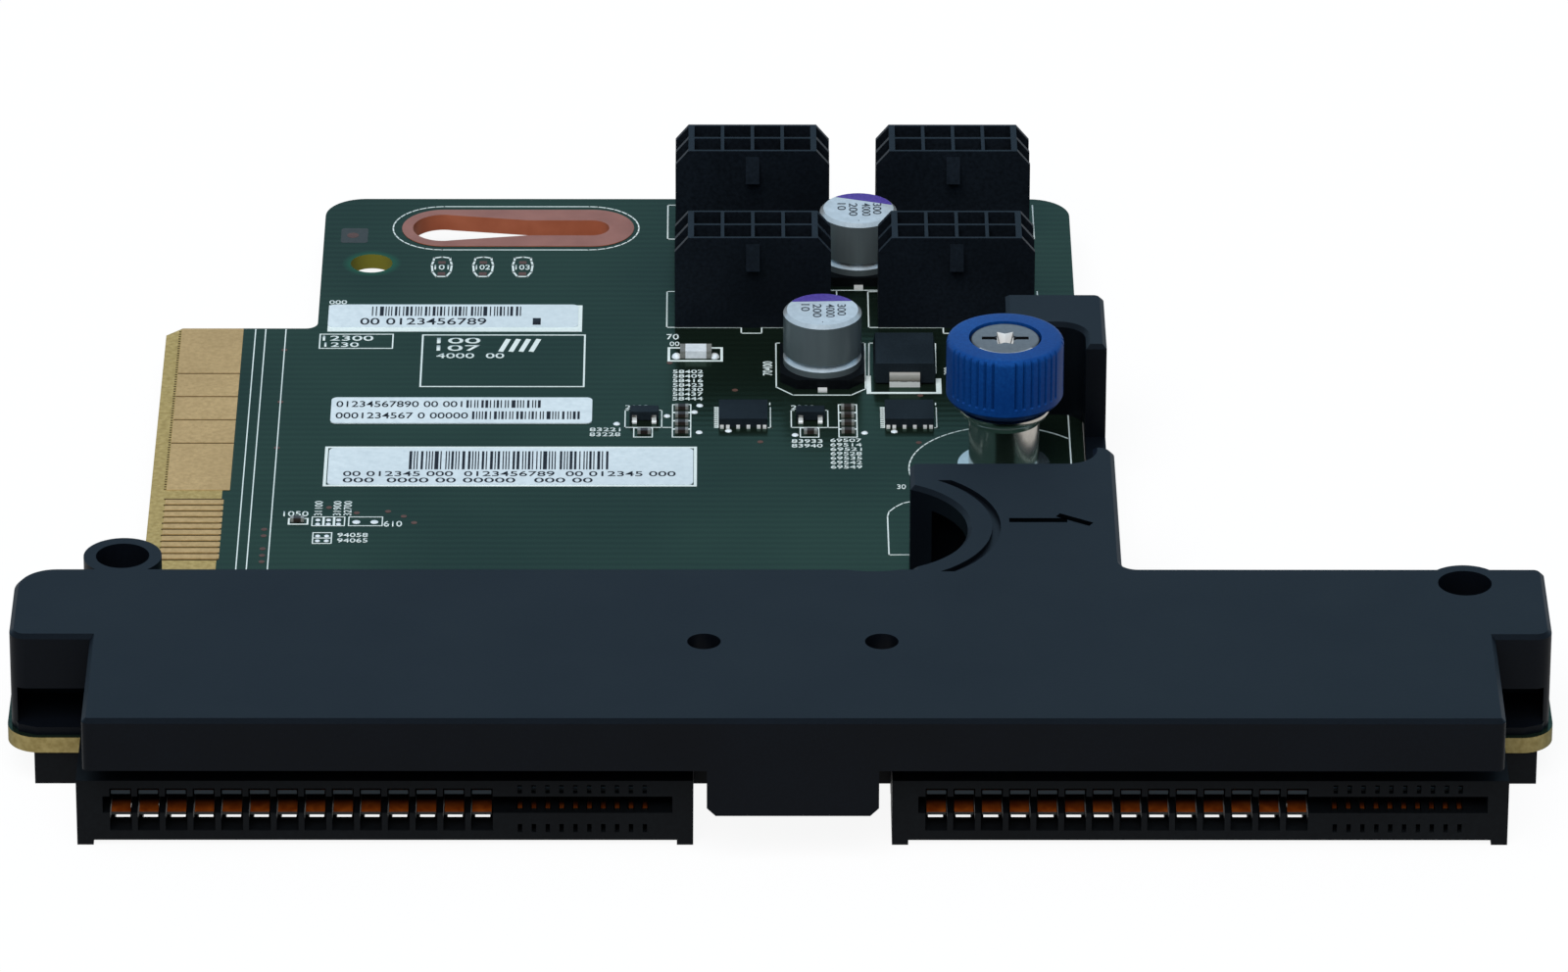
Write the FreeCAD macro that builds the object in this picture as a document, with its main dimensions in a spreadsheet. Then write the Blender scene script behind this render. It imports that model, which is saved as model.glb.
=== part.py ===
import FreeCAD, Part
import Sketcher
import math
import os
import re

# Power distribution board of a server, in millimetres.
# X runs along the two power-supply sockets, Y from the sockets to the board's back edge, Z up.
# The origin is under the middle of the part, on the surface that it stands on.

doc = FreeCAD.newDocument("power_distribution_board")
Vector = FreeCAD.Vector

# Driving sizes. Each is written once, and every other size or place is worked out from them.
SIZES = {
    # Circuit board
    "board_thickness": 1.57,
    "board_depth": 115.8,
    "panel_width": 75.2,
    "panel_radius": 4.0,
    "edge_tab_reach": 14.9,
    "edge_tab_setback": 29.9,
    "edge_tab_chamfer": 1.6,
    "inner_corner_radius": 1.2,
    "left_ear_overhang": 11.1,
    "left_ear_lip": 7.3,
    "right_ear_lip": 1.3,
    "ear_radius": 3.0,
    "mount_hole_radius": 2.1,
    "mount_hole_inset": 4.95,
    "mount_hole_setback": 15.05,
    # Plated keyhole for the board's hook
    "keyhole_lobe_radius": 3.15,
    "keyhole_neck_width": 3.7,
    "keyhole_length": 20.0,
    "keyhole_taper_end": 11.7,
    "keyhole_inset": 8.8,
    "keyhole_setback": 6.9,
    "keyhole_pad_length": 23.4,
    "keyhole_pad_width": 8.5,
    "keyhole_pad_shift": 0.7,
    "plating_thickness": 0.1,
    "copper_thickness": 0.06,
    # Gold fingers of the card-edge tab
    "power_pitch": 2.54,
    "signal_pitch": 1.27,
    "power_finger_gap": 0.25,
    "signal_finger_gap": 0.4,
    "finger_margin": 1.5,
    "power_finger_length": 6.1,
    "signal_finger_length": 5.6,
    "finger_end_inset": 0.15,
    "finger_section_gap": 1.85,
    # Power-supply sockets
    "socket_gap": 18.2,
    "socket_left_margin": 7.05,
    "socket_right_margin": 4.95,
    "socket_depth": 11.5,
    "socket_above_slot": 2.48,
    "socket_below_slot": 3.67,
    "socket_foot_height": 0.5,
    "socket_foot_width": 1.5,
    "socket_foot_depth": 8.0,
    "socket_left_ear": 4.5,
    "socket_right_ear": 3.4,
    "socket_ear_depth": 5.5,
    "socket_ear_gap": 0.3,
    "socket_board_gap": 0.1,
    "card_slot_height": 1.7,
    "card_slot_depth": 8.5,
    "card_slot_left": 2.4,
    "card_slot_right": 1.9,
    "first_power_window": 4.05,
    "power_window_width": 2.0,
    "signal_window_width": 0.6,
    "signal_window_start": 3.48,
    "last_window_margin": 4.42,
    "window_above_slot": 1.68,
    "window_below_slot": 2.68,
    "signal_wall": 0.6,
    "signal_above_slot": 2.03,
    "signal_below_slot": 2.86,
    "signal_opening_width": 0.4,
    "signal_opening_height": 0.85,
    "vent_width": 1.4,
    "vent_start": 2.6,
    "vent_length": 4.4,
    "contact_thickness": 0.35,
    "power_contact_width": 1.75,
    "signal_contact_width": 0.4,
    "contact_tip_depth": 0.4,
    "contact_tip_offset": 1.1,
    "contact_crest_depth": 1.9,
    "contact_crest_offset": 0.68,
    "contact_bend_setback": 0.8,
    "contact_tail_length": 3.1,
    "signal_contact_setback": 0.7,
    # Moulded cover
    "cover_overhang": 15.1,
    "cover_height": 9.9,
    "cover_depth": 30.2,
    "cover_wall": 2.0,
    "cover_front_height": 5.25,
    "cover_left_tuck": 0.85,
    "cover_right_tuck": 0.75,
    "cover_ear_inset": 0.4,
    "cover_ear_setback": 1.4,
    "left_ear_corner_radius": 3.8,
    "right_ear_corner_radius": 1.0,
    "cover_ear_front_radius": 1.5,
    "cover_edge_radius": 0.6,
    "cover_top_bevel": 0.4,
    "ear_arch_floor": 0.8,
    "ear_arch_height": 3.6,
    "ear_arch_depth": 6.0,
    "ear_arch_wall": 0.65,
    "ear_foot_inset": 0.55,
    "ear_foot_radius": 2.4,
    "front_tab_clearance": 1.25,
    "front_tab_bevel": 0.8,
    "boss_radius": 3.65,
    "boss_bore_radius": 2.5,
    "left_boss_inset": 10.17,
    "left_boss_setback": 2.35,
    "right_boss_inset": 7.9,
    "right_boss_setback": -3.1,
    "vent_hole_radius": 1.55,
    "vent_hole_spacing": 16.35,
    "vent_hole_setback": 15.4,
    "platform_width": 19.45,
    "platform_depth": 21.9,
    "platform_horn": 3.4,
    "platform_horn_radius": 2.6,
    "platform_corner_radius": 1.5,
    "rail_clearance": 0.15,
    "rail_width": 2.0,
    "rail_drop": 1.0,
    "scallop_radius": 9.0,
    "scallop_reach": 5.25,
    "scallop_setback": 8.65,
    "finger_groove_offset": 2.3,
    "finger_groove_width": 0.8,
    "finger_groove_depth": 0.5,
    "finger_groove_half": 9.4,
    "post_width": 9.6,
    "post_depth": 11.6,
    "post_back_wall": 6.7,
    "post_clearance": 1.25,
    "post_inner_radius": 2.5,
    "post_corner_radius": 1.0,
    # Captive thumbscrew
    "screw_inset": 7.9,
    "screw_setback": 18.1,
    "knob_radius": 5.65,
    "knob_height": 7.0,
    "knob_crown_radius": 0.95,
    "knob_foot_radius": 4.25,
    "knob_foot_taper": 2.0,
    "knob_top_level": 14.2,
    "screw_head_radius": 3.5,
    "screw_head_height": 1.8,
    "screw_head_recess": 0.1,
    "recess_depth": 1.0,
    "recess_point_radius": 1.37,
    "recess_valley_radius": 0.95,
    "recess_slot_length": 4.5,
    "recess_slot_width": 0.8,
    "shank_radius": 1.5,
    "shank_tip_drop": 0.3,
    "shank_tip_bevel": 0.4,
    "sleeve_radius": 3.4,
    "sleeve_bore_radius": 2.75,
    "sleeve_flange_radius": 4.45,
    "sleeve_flange_height": 0.6,
    "sleeve_rim_radius": 3.6,
    "sleeve_rim_height": 0.6,
    "sleeve_lip_height": 0.8,
    "collar_lip_height": 0.8,
    "collar_flare_radius": 4.45,
    "collar_flare_height": 1.5,
    "collar_wall": 0.3,
    "collar_bead_height": 0.6,
    "collar_bead_reach": 0.25,
    "collar_bead_drop": 0.5,
    "collar_foot_width": 0.15,
    "running_clearance": 0.05,
    "end_clearance": 0.1,
    "spring_wire_radius": 0.22,
    "spring_radius": 2.2,
    # Vertical power headers
    "header_setback": 6.4,
    "header_spacing_x": 20.15,
    "header_spacing_y": 20.15,
    "header_pitch": 3.0,
    "header_block_width": 12.85,
    "header_end_width": 1.3,
    "header_depth": 6.3,
    "header_height": 9.87,
    "header_floor": 1.5,
    "header_cell": 2.65,
    "header_plate": 0.55,
    "header_end_rib": 0.6,
    "header_chamfer_width": 1.3,
    "header_chamfer_height": 1.55,
    "latch_width": 1.35,
    "latch_height": 2.6,
    "latch_drop": 0.65,
    "latch_reach": 0.9,
    "pin_width": 0.76,
    "pin_tail": 3.3,
    "pin_below_top": 2.2,
    "pin_hole_radius": 0.65,
    # Polymer capacitors
    "can_radius": 3.85,
    "can_height": 6.7,
    "can_round": 0.35,
    "can_waist": 0.35,
    "can_waist_level": 2.0,
    "can_base_width": 8.3,
    "can_base_height": 1.0,
    "can_base_chamfer": 1.6,
    "can_lead_width": 0.9,
    "can_lead_reach": 0.7,
    "can_lead_height": 0.2,
    "front_can_shift": -3.27,
    "front_can_setback": 12.7,
    "rear_can_shift": 0.5,
    "rear_can_setback": 9.8,
    # Surface-mounted parts
    "fuse_shift": -15.7,
    "fuse_setback": 9.2,
    "fuse_length": 3.1,
    "fuse_width": 1.7,
    "fuse_height": 0.8,
    "fuse_end": 0.52,
    "diode_shift": 4.8,
    "diode_setback": 12.35,
    "diode_width": 6.1,
    "diode_length": 6.9,
    "diode_height": 2.3,
    "diode_foot": 0.2,
    "diode_lead_width": 3.0,
    "diode_lead_reach": 0.5,
    "diode_lead_thickness": 0.2,
    "diode_lead_foot": 1.2,
    "package_setback": 25.15,
    "package_shift": -11.05,
    "package_spacing": 16.2,
    "mosfet_width": 4.75,
    "mosfet_depth": 4.2,
    "mosfet_height": 0.92,
    "mosfet_lead_pitch": 1.0,
    "mosfet_lead_width": 0.35,
    "mosfet_lead_length": 0.35,
    "mosfet_lead_height": 0.25,
    "mosfet_corner_lead": 2.08,
    "transistor_offset": -9.65,
    "transistor_width": 2.9,
    "transistor_depth": 1.4,
    "transistor_height": 1.0,
    "transistor_foot": 0.1,
    "transistor_rise": 1.33,
    "transistor_lead_width": 0.45,
    "transistor_lead_pitch": 1.9,
    "transistor_lead_reach": 0.6,
    "transistor_lead_thickness": 0.15,
    "chip_length": 1.3,
    "chip_width": 0.6,
    "chip_height": 0.4,
    "chip_end": 0.3,
    "chip_column_offset": -6.0,
    "chip_column_pitch": 1.7,
    "chip_column_start": -1.05,
    "single_chip_drop": 1.2,
    "corner_chip_shift": 0.6,
    "corner_chip_setback": 41.85,
    # Paper labels
    "label_thickness": 0.1,
    "label_radius": 0.6,
    "rear_label_inset": 1.0,
    "rear_label_setback": 29.75,
    "rear_label_width": 24.8,
    "rear_label_height": 5.1,
    "middle_label_inset": 1.9,
    "middle_label_setback": 51.0,
    "middle_label_width": 25.5,
    "middle_label_height": 5.6,
    "front_label_inset": 2.0,
    "front_label_setback": 64.25,
    "front_label_width": 35.3,
    "front_label_height": 7.8,
}

# Counts that the sockets, fingers and headers are laid out with.
POWER_COUNT = 14
SIGNAL_COUNT = 10
FINGER_BLOCKS = (4, 2, 2, 2, 4)
PIN_COLUMNS = 4
PIN_HOLE_SIDES = 6
CHIPS_PER_COLUMN = 4
RECESS_LOBES = 6
SPRING_TURNS = 5
SPRING_STEPS = 8
SPRING_SIDES = 4

# Two places nearer than this are the same place.
SAME = 1e-4

# A rounding made of two bevels turns this part of its radius in from the square corner.
ROUND_STEP = 0.29

# Headers by name, each with its step to the right and its step to the front.
HEADER_STEPS = {
    "rear_left": (0, 0),
    "rear_right": (1, 0),
    "front_left": (0, 1),
    "front_right": (1, 1),
}

# Places that follow from the driving sizes.
DERIVED = {
    "back_y": "(board_depth + cover_overhang) / 2",
    "front_y": "-(board_depth + cover_overhang) / 2",
    "board_front": "(cover_overhang - board_depth) / 2",
    "power_span": f"power_pitch * {POWER_COUNT - 1}",
    "signal_span": f"signal_pitch * {SIGNAL_COUNT - 1}",
    "window_span": "power_span + signal_window_start + signal_span",
    "socket_width": "first_power_window + window_span + last_window_margin",
    "board_width": "socket_left_margin + 2 * socket_width + socket_gap + socket_right_margin",
    "board_left": "-board_width / 2",
    "board_right": "board_width / 2",
    "edge_tab_left": "board_left + left_ear_overhang",
    "panel_left": "edge_tab_left + edge_tab_reach",
    "panel_right": "panel_left + panel_width",
    "edge_tab_back": "back_y - edge_tab_setback",
    "slot_level": "socket_foot_height + socket_below_slot",
    "board_top": "slot_level + board_thickness / 2",
    "board_bottom": "slot_level - board_thickness / 2",
    "keyhole_x": "panel_left + keyhole_inset + keyhole_lobe_radius",
    "keyhole_y": "back_y - keyhole_setback",
    "socket_face": "board_front - socket_depth",
    "socket_left": "board_left + socket_left_margin",
    "socket_spacing": "socket_width + socket_gap",
    "cover_top": "board_top + cover_height",
    "cover_left": "socket_left + cover_left_tuck",
    "cover_right": "socket_left + socket_spacing + socket_width - cover_right_tuck",
    "cover_back": "front_y + cover_depth",
    "left_ear_back": "cover_back + left_ear_lip",
    "right_ear_back": "cover_back + right_ear_lip",
    "cover_ear_front": "board_front + cover_ear_setback",
    "cover_ear_left": "board_left + cover_ear_inset",
    "cover_ear_right": "board_right - cover_ear_inset",
    "cover_middle": "(cover_left + cover_right) / 2",
    "platform_right": "panel_right + rail_clearance + rail_width",
    "platform_left": "platform_right - platform_width",
    "platform_back": "cover_back + platform_depth",
    "screw_x": "panel_right - screw_inset",
    "screw_y": "platform_back + screw_setback",
    "post_front": "screw_y + knob_radius + post_clearance",
    "rail_left": "panel_right + rail_clearance",
    "knob_top": "board_top + knob_top_level",
    "knob_bottom": "knob_top - knob_height",
    "head_bottom": "knob_top - screw_head_recess - screw_head_height",
    "collar_bottom": "knob_bottom - end_clearance - collar_flare_height",
    "sleeve_rim_bottom": "collar_bottom + collar_lip_height + end_clearance",
    "sleeve_top": "sleeve_rim_bottom + sleeve_rim_height",
    "collar_inner_radius": "sleeve_rim_radius + running_clearance",
    "collar_outer_radius": "collar_inner_radius + collar_wall",
    "collar_top": "head_bottom - end_clearance",
    "bead_top": "collar_top - collar_bead_drop",
    "bead_bottom": "bead_top - collar_bead_height",
    "knob_bore_radius": "collar_outer_radius + running_clearance",
    "spring_floor": "board_bottom + sleeve_lip_height",
    "header_top": "board_top + header_height",
    "keyhole_middle": "keyhole_x - keyhole_lobe_radius + keyhole_length / 2 + keyhole_pad_shift",
    "parts_x": "(keyhole_middle + keyhole_pad_length / 2 + panel_right) / 2",
    "header_x": "parts_x - header_spacing_x / 2",
    "header_y": "back_y - header_setback",
    "header_width": "header_block_width + 2 * header_end_width",
    "front_header_y": "header_y - header_spacing_y",
    "front_can_x": "parts_x + front_can_shift",
    "front_can_y": "front_header_y - front_can_setback",
    "rear_can_x": "parts_x + rear_can_shift",
    "rear_can_y": "header_y - rear_can_setback",
    "fuse_x": "parts_x + fuse_shift",
    "fuse_y": "front_header_y - fuse_setback",
    "diode_x": "parts_x + diode_shift",
    "diode_y": "front_header_y - diode_setback",
    "package_y": "front_header_y - package_setback",
    "left_package_x": "parts_x + package_shift",
    "corner_chip_x": "panel_left - corner_chip_shift",
    "corner_chip_y": "edge_tab_back - corner_chip_setback",
}


def make_sheet():
    """Spreadsheet with the driving sizes as plain numbers, then the places worked out from them."""
    page = doc.addObject("Spreadsheet::Sheet", "sizes")
    row = 0
    for name, number in SIZES.items():
        row += 1
        page.set(f"A{row}", name)
        page.set(f"B{row}", str(number))
        page.setAlias(f"B{row}", name)
    for name, formula in DERIVED.items():
        row += 1
        page.set(f"A{row}", name)
        page.set(f"B{row}", "=" + formula)
        page.setAlias(f"B{row}", name)
    doc.recompute()
    return page


sheet = make_sheet()
NAMES = set(SIZES) | set(DERIVED)
nodes = []


def size(name):
    """Number in the sheet cell with this alias."""
    return float(sheet.get(name))


def linked(formula):
    """The formula with each size's name pointed at the sheet."""
    def point(match):
        word = match.group(0)
        return "sizes." + word if word in NAMES else word
    return re.sub(r"[A-Za-z_][A-Za-z0-9_]*", point, str(formula))


def bind(thing, prop, formula):
    thing.setExpression(prop, linked(formula))


def place(thing, x, y, z):
    """Bind an object's position to the sheet."""
    bind(thing, "Placement.Base.x", x)
    bind(thing, "Placement.Base.y", y)
    bind(thing, "Placement.Base.z", z)


def node(thing, label):
    """Take an object as a sub-part of the assembly under its own name."""
    thing.Label = label
    nodes.append(thing)
    return thing


def new_body(name):
    return doc.addObject("PartDesign::Body", name)


def origin_plane(body, role):
    return [item for item in body.Origin.OriginFeatures if item.Role == role][0]


def block(body, kind, x, y, z, length, width, height):
    """Additive or Subtractive box with its low corner at x, y, z."""
    box = body.newObject(f"PartDesign::{kind}Box", kind.lower() + "_box")
    place(box, x, y, z)
    bind(box, "Length", length)
    bind(box, "Width", width)
    bind(box, "Height", height)
    return box


def round_bar(body, kind, x, y, z, radius, height):
    """Additive or Subtractive upright cylinder."""
    bar = body.newObject(f"PartDesign::{kind}Cylinder", kind.lower() + "_bar")
    place(bar, x, y, z)
    bind(bar, "Radius", radius)
    bind(bar, "Height", height)
    return bar


def start_sketch(body, role, level):
    """Sketch on one of the body's own origin planes, moved along its normal."""
    sketch = body.newObject("Sketcher::SketchObject", "sketch")
    sketch.AttachmentSupport = [(origin_plane(body, role), "")]
    sketch.MapMode = "FlatFace"
    bind(sketch, "AttachmentOffset.Base.z", level)
    return sketch


def outline(body, role, level, corners):
    """Closed straight-sided sketch whose corners are pairs of formulas."""
    sketch = start_sketch(body, role, level)
    count = len(corners)
    guess = [Vector(math.cos(math.tau * i / count), math.sin(math.tau * i / count), 0) for i in range(count)]
    for i in range(count):
        sketch.addGeometry(Part.LineSegment(guess[i], guess[(i + 1) % count]))
    for i in range(count):
        sketch.addConstraint(Sketcher.Constraint("Coincident", i, 2, (i + 1) % count, 1))
    for i, (across, along) in enumerate(corners):
        index = sketch.addConstraint(Sketcher.Constraint("DistanceX", -1, 1, i, 1, guess[i].x))
        bind(sketch, f"Constraints[{index}]", across)
        index = sketch.addConstraint(Sketcher.Constraint("DistanceY", -1, 1, i, 1, guess[i].y))
        bind(sketch, f"Constraints[{index}]", along)
    return sketch


def raise_sketch(body, sketch, length, centred=False):
    pad = body.newObject("PartDesign::Pad", "pad")
    pad.Profile = sketch
    pad.Midplane = centred
    bind(pad, "Length", length)
    return pad


def sink_sketch(body, sketch, length):
    """Pocket cut upwards from the sketch's plane."""
    pocket = body.newObject("PartDesign::Pocket", "pocket")
    pocket.Profile = sketch
    pocket.Reversed = True
    bind(pocket, "Length", length)
    return pocket


def cut_back(body, sketch, length):
    """Pocket cut towards the back from an upright sketch."""
    pocket = body.newObject("PartDesign::Pocket", "mouth")
    pocket.Profile = sketch
    bind(pocket, "Length", length)
    return pocket


def spin(body, kind, sketch):
    """Revolution or Groove of a sketch about the upright axis through the body's origin."""
    turned = body.newObject(f"PartDesign::{kind}", kind.lower())
    turned.Profile = sketch
    turned.ReferenceAxis = (origin_plane(body, "Z_Axis"), [""])
    turned.Angle = 360
    return turned


def row_of(body, feature, count, pitch):
    """Copies of a feature along X."""
    pattern = body.newObject("PartDesign::LinearPattern", "row")
    pattern.Originals = [feature]
    pattern.Direction = (origin_plane(body, "X_Axis"), [""])
    pattern.Occurrences = count
    pattern.Mode = "Spacing"
    bind(pattern, "Offset", pitch)
    body.Tip = pattern
    return pattern


def upright_edges(shape, spots):
    """Names of the upright edges that stand at the given x, y spots."""
    found = []
    for number, edge in enumerate(shape.Edges, 1):
        ends = [vertex.Point for vertex in edge.Vertexes]
        if len(ends) != 2 or (ends[0] - ends[1]).cross(Vector(0, 0, 1)).Length > SAME:
            continue
        if any(abs(ends[0].x - x) < SAME and abs(ends[0].y - y) < SAME for x, y in spots):
            found.append(f"Edge{number}")
    return found


def level_edges(shape, level, behind):
    """Names of the edges that lie wholly at one height and no further forward than a given y."""
    found = []
    for number, edge in enumerate(shape.Edges, 1):
        box = edge.BoundBox
        if abs(box.ZMin - level) < SAME and abs(box.ZMax - level) < SAME and box.YMin > behind - SAME:
            found.append(f"Edge{number}")
    return found


def soften(body, kind, spots, prop, amount):
    """Fillet or Chamfer of the upright edges at the given spots."""
    doc.recompute()
    base = body.Tip
    feature = body.newObject(f"PartDesign::{kind}", kind.lower())
    feature.Base = (base, upright_edges(base.Shape, spots))
    bind(feature, prop, amount)
    return feature


def bevel_top(body, level, behind, amount):
    """Chamfer of the edges round the top face of what stands behind a given y."""
    doc.recompute()
    base = body.Tip
    chamfer = body.newObject("PartDesign::Chamfer", "top_bevel")
    chamfer.Base = (base, level_edges(base.Shape, level, behind))
    bind(chamfer, "Size", amount)
    return chamfer


def ribbon(path, thickness):
    """Outline of a strip of even thickness along a list of y, z points."""
    left = []
    right = []
    last = len(path) - 1
    for i, here in enumerate(path):
        into = (here - path[i - 1]).normalize() if i > 0 else None
        out = (path[i + 1] - here).normalize() if i < last else None
        side_in = Vector(0, -into.z, into.y) if into else None
        side_out = Vector(0, -out.z, out.y) if out else None
        if side_in and side_out:
            middle = (side_in + side_out).normalize()
            middle = middle * (1 / middle.dot(side_in))
        else:
            middle = side_in or side_out
        left.append(here + middle * (thickness / 2))
        right.append(here - middle * (thickness / 2))
    corners = left + right[::-1]
    return Part.Face(Part.makePolygon(corners + corners[:1]))


def group(label, solids):
    """Separate solids that share one node."""
    shared = doc.addObject("Part::Feature", label)
    shared.Shape = Part.makeCompound(solids)
    return node(shared, label)


def make_board():
    """Circuit board: panel with a card-edge tab, front ears, pin holes and the plated keyhole."""
    body = new_body("board")
    corners = [
        ("board_left", "board_front"),
        ("board_right", "board_front"),
        ("board_right", "right_ear_back"),
        ("panel_right", "right_ear_back"),
        ("panel_right", "back_y"),
        ("panel_left", "back_y"),
        ("panel_left", "edge_tab_back"),
        ("edge_tab_left + edge_tab_chamfer", "edge_tab_back"),
        ("edge_tab_left", "edge_tab_back - edge_tab_chamfer"),
        ("edge_tab_left", "left_ear_back"),
        ("board_left", "left_ear_back"),
    ]
    raise_sketch(body, outline(body, "XY_Plane", "board_bottom", corners), "board_thickness")
    soften(body, "Fillet", [
        (size("board_left"), size("board_front")),
        (size("board_right"), size("board_front")),
        (size("board_left"), size("left_ear_back")),
        (size("board_right"), size("right_ear_back")),
    ], "Radius", "ear_radius")
    soften(body, "Fillet", [
        (size("panel_right"), size("back_y")),
        (size("panel_left"), size("back_y")),
    ], "Radius", "panel_radius")
    soften(body, "Fillet", [
        (size("panel_left"), size("edge_tab_back")),
        (size("edge_tab_left"), size("left_ear_back")),
        (size("panel_right"), size("right_ear_back")),
    ], "Radius", "inner_corner_radius")
    round_bar(body, "Subtractive", "panel_left + mount_hole_inset", "back_y - mount_hole_setback",
              "board_bottom", "mount_hole_radius", "board_thickness")
    round_bar(body, "Subtractive", "board_left + left_boss_inset", "cover_back + left_boss_setback",
              "board_bottom", "boss_bore_radius", "board_thickness")
    round_bar(body, "Subtractive", "board_right - right_boss_inset", "cover_back + right_boss_setback",
              "board_bottom", "boss_bore_radius", "board_thickness")
    round_bar(body, "Subtractive", "screw_x", "screw_y", "board_bottom", "sleeve_radius", "board_thickness")
    keyhole(body, "Subtractive", "board_bottom", "board_thickness", "0")
    for right, front in HEADER_STEPS.values():
        pin_holes(body, *header_spot(right, front))
    node(body, "circuit_board")


def header_spot(right, front):
    """Formulas of a header's centre."""
    return f"header_x + {right} * header_spacing_x", f"header_y - {front} * header_spacing_y"


def pin_holes(body, x, y):
    """Two rows of pin holes under a header, six-sided to keep them light."""
    for row in (-0.5, 0.5):
        hole = body.newObject("PartDesign::SubtractivePrism", "pin_hole")
        hole.Polygon = PIN_HOLE_SIDES
        first = f"{x} - {(PIN_COLUMNS - 1) / 2} * header_pitch"
        place(hole, first, f"{y} + {row} * header_pitch", "board_bottom")
        bind(hole, "Circumradius", "pin_hole_radius")
        bind(hole, "Height", "board_thickness")
        row_of(body, hole, PIN_COLUMNS, "header_pitch")


def keyhole(body, kind, level, height, shrink):
    """Keyhole: a round lobe that narrows to a slot with a round end, shrunk all round by a wall."""
    neck = f"(keyhole_neck_width / 2 - {shrink})"
    lobe = f"(keyhole_lobe_radius - {shrink})"
    taper = "keyhole_x - keyhole_lobe_radius + keyhole_taper_end"
    end = "keyhole_x - keyhole_lobe_radius + keyhole_length - keyhole_neck_width / 2"
    round_bar(body, kind, "keyhole_x", "keyhole_y", level, lobe, height)
    round_bar(body, kind, end, "keyhole_y", level, neck, height)
    throat = outline(body, "XY_Plane", level, [
        ("keyhole_x", f"keyhole_y - {lobe}"),
        (taper, f"keyhole_y - {neck}"),
        (end, f"keyhole_y - {neck}"),
        (end, f"keyhole_y + {neck}"),
        (taper, f"keyhole_y + {neck}"),
        ("keyhole_x", f"keyhole_y + {lobe}"),
    ])
    if kind == "Additive":
        raise_sketch(body, throat, height)
    else:
        sink_sketch(body, throat, height)


def make_plating():
    """Copper liner of the keyhole, with a rounded pad on both faces of the board."""
    body = new_body("plating")
    middle = "keyhole_middle"
    straight = "(keyhole_pad_length - keyhole_pad_width)"
    keyhole(body, "Additive", "board_bottom", "board_thickness", "0")
    for level in ("board_top", "board_bottom - copper_thickness"):
        block(body, "Additive", f"{middle} - {straight} / 2", "keyhole_y - keyhole_pad_width / 2", level,
              straight, "keyhole_pad_width", "copper_thickness")
        for side in ("-", "+"):
            round_bar(body, "Additive", f"{middle} {side} {straight} / 2", "keyhole_y", level,
                      "keyhole_pad_width / 2", "copper_thickness")
    keyhole(body, "Subtractive", "board_bottom - copper_thickness",
            "board_thickness + 2 * copper_thickness", "plating_thickness")
    node(body, "keyhole_plating")


def make_fingers():
    """Gold contact fingers on both faces of the card-edge tab."""
    left = size("edge_tab_left") + size("finger_margin")
    gap = size("power_finger_gap")
    copper = size("copper_thickness")
    levels = (size("board_top"), size("board_bottom") - copper)
    edge = size("edge_tab_back") - size("finger_end_inset")
    power = []
    for count in FINGER_BLOCKS:
        width = count * size("power_pitch")
        for level in levels:
            corner = Vector(left, edge - width + gap, level)
            power.append(Part.makeBox(size("power_finger_length"), width - gap, copper, corner))
        edge -= width
    group("edge_power_fingers", power)
    edge -= size("finger_section_gap")
    gap = size("signal_finger_gap")
    signal = []
    width = size("signal_pitch") - gap
    for i in range(SIGNAL_COUNT):
        edge -= size("signal_pitch")
        for level in levels:
            corner = Vector(left, edge + gap, level)
            signal.append(Part.makeBox(size("signal_finger_length"), width, copper, corner))
    group("edge_signal_fingers", signal)


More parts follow.
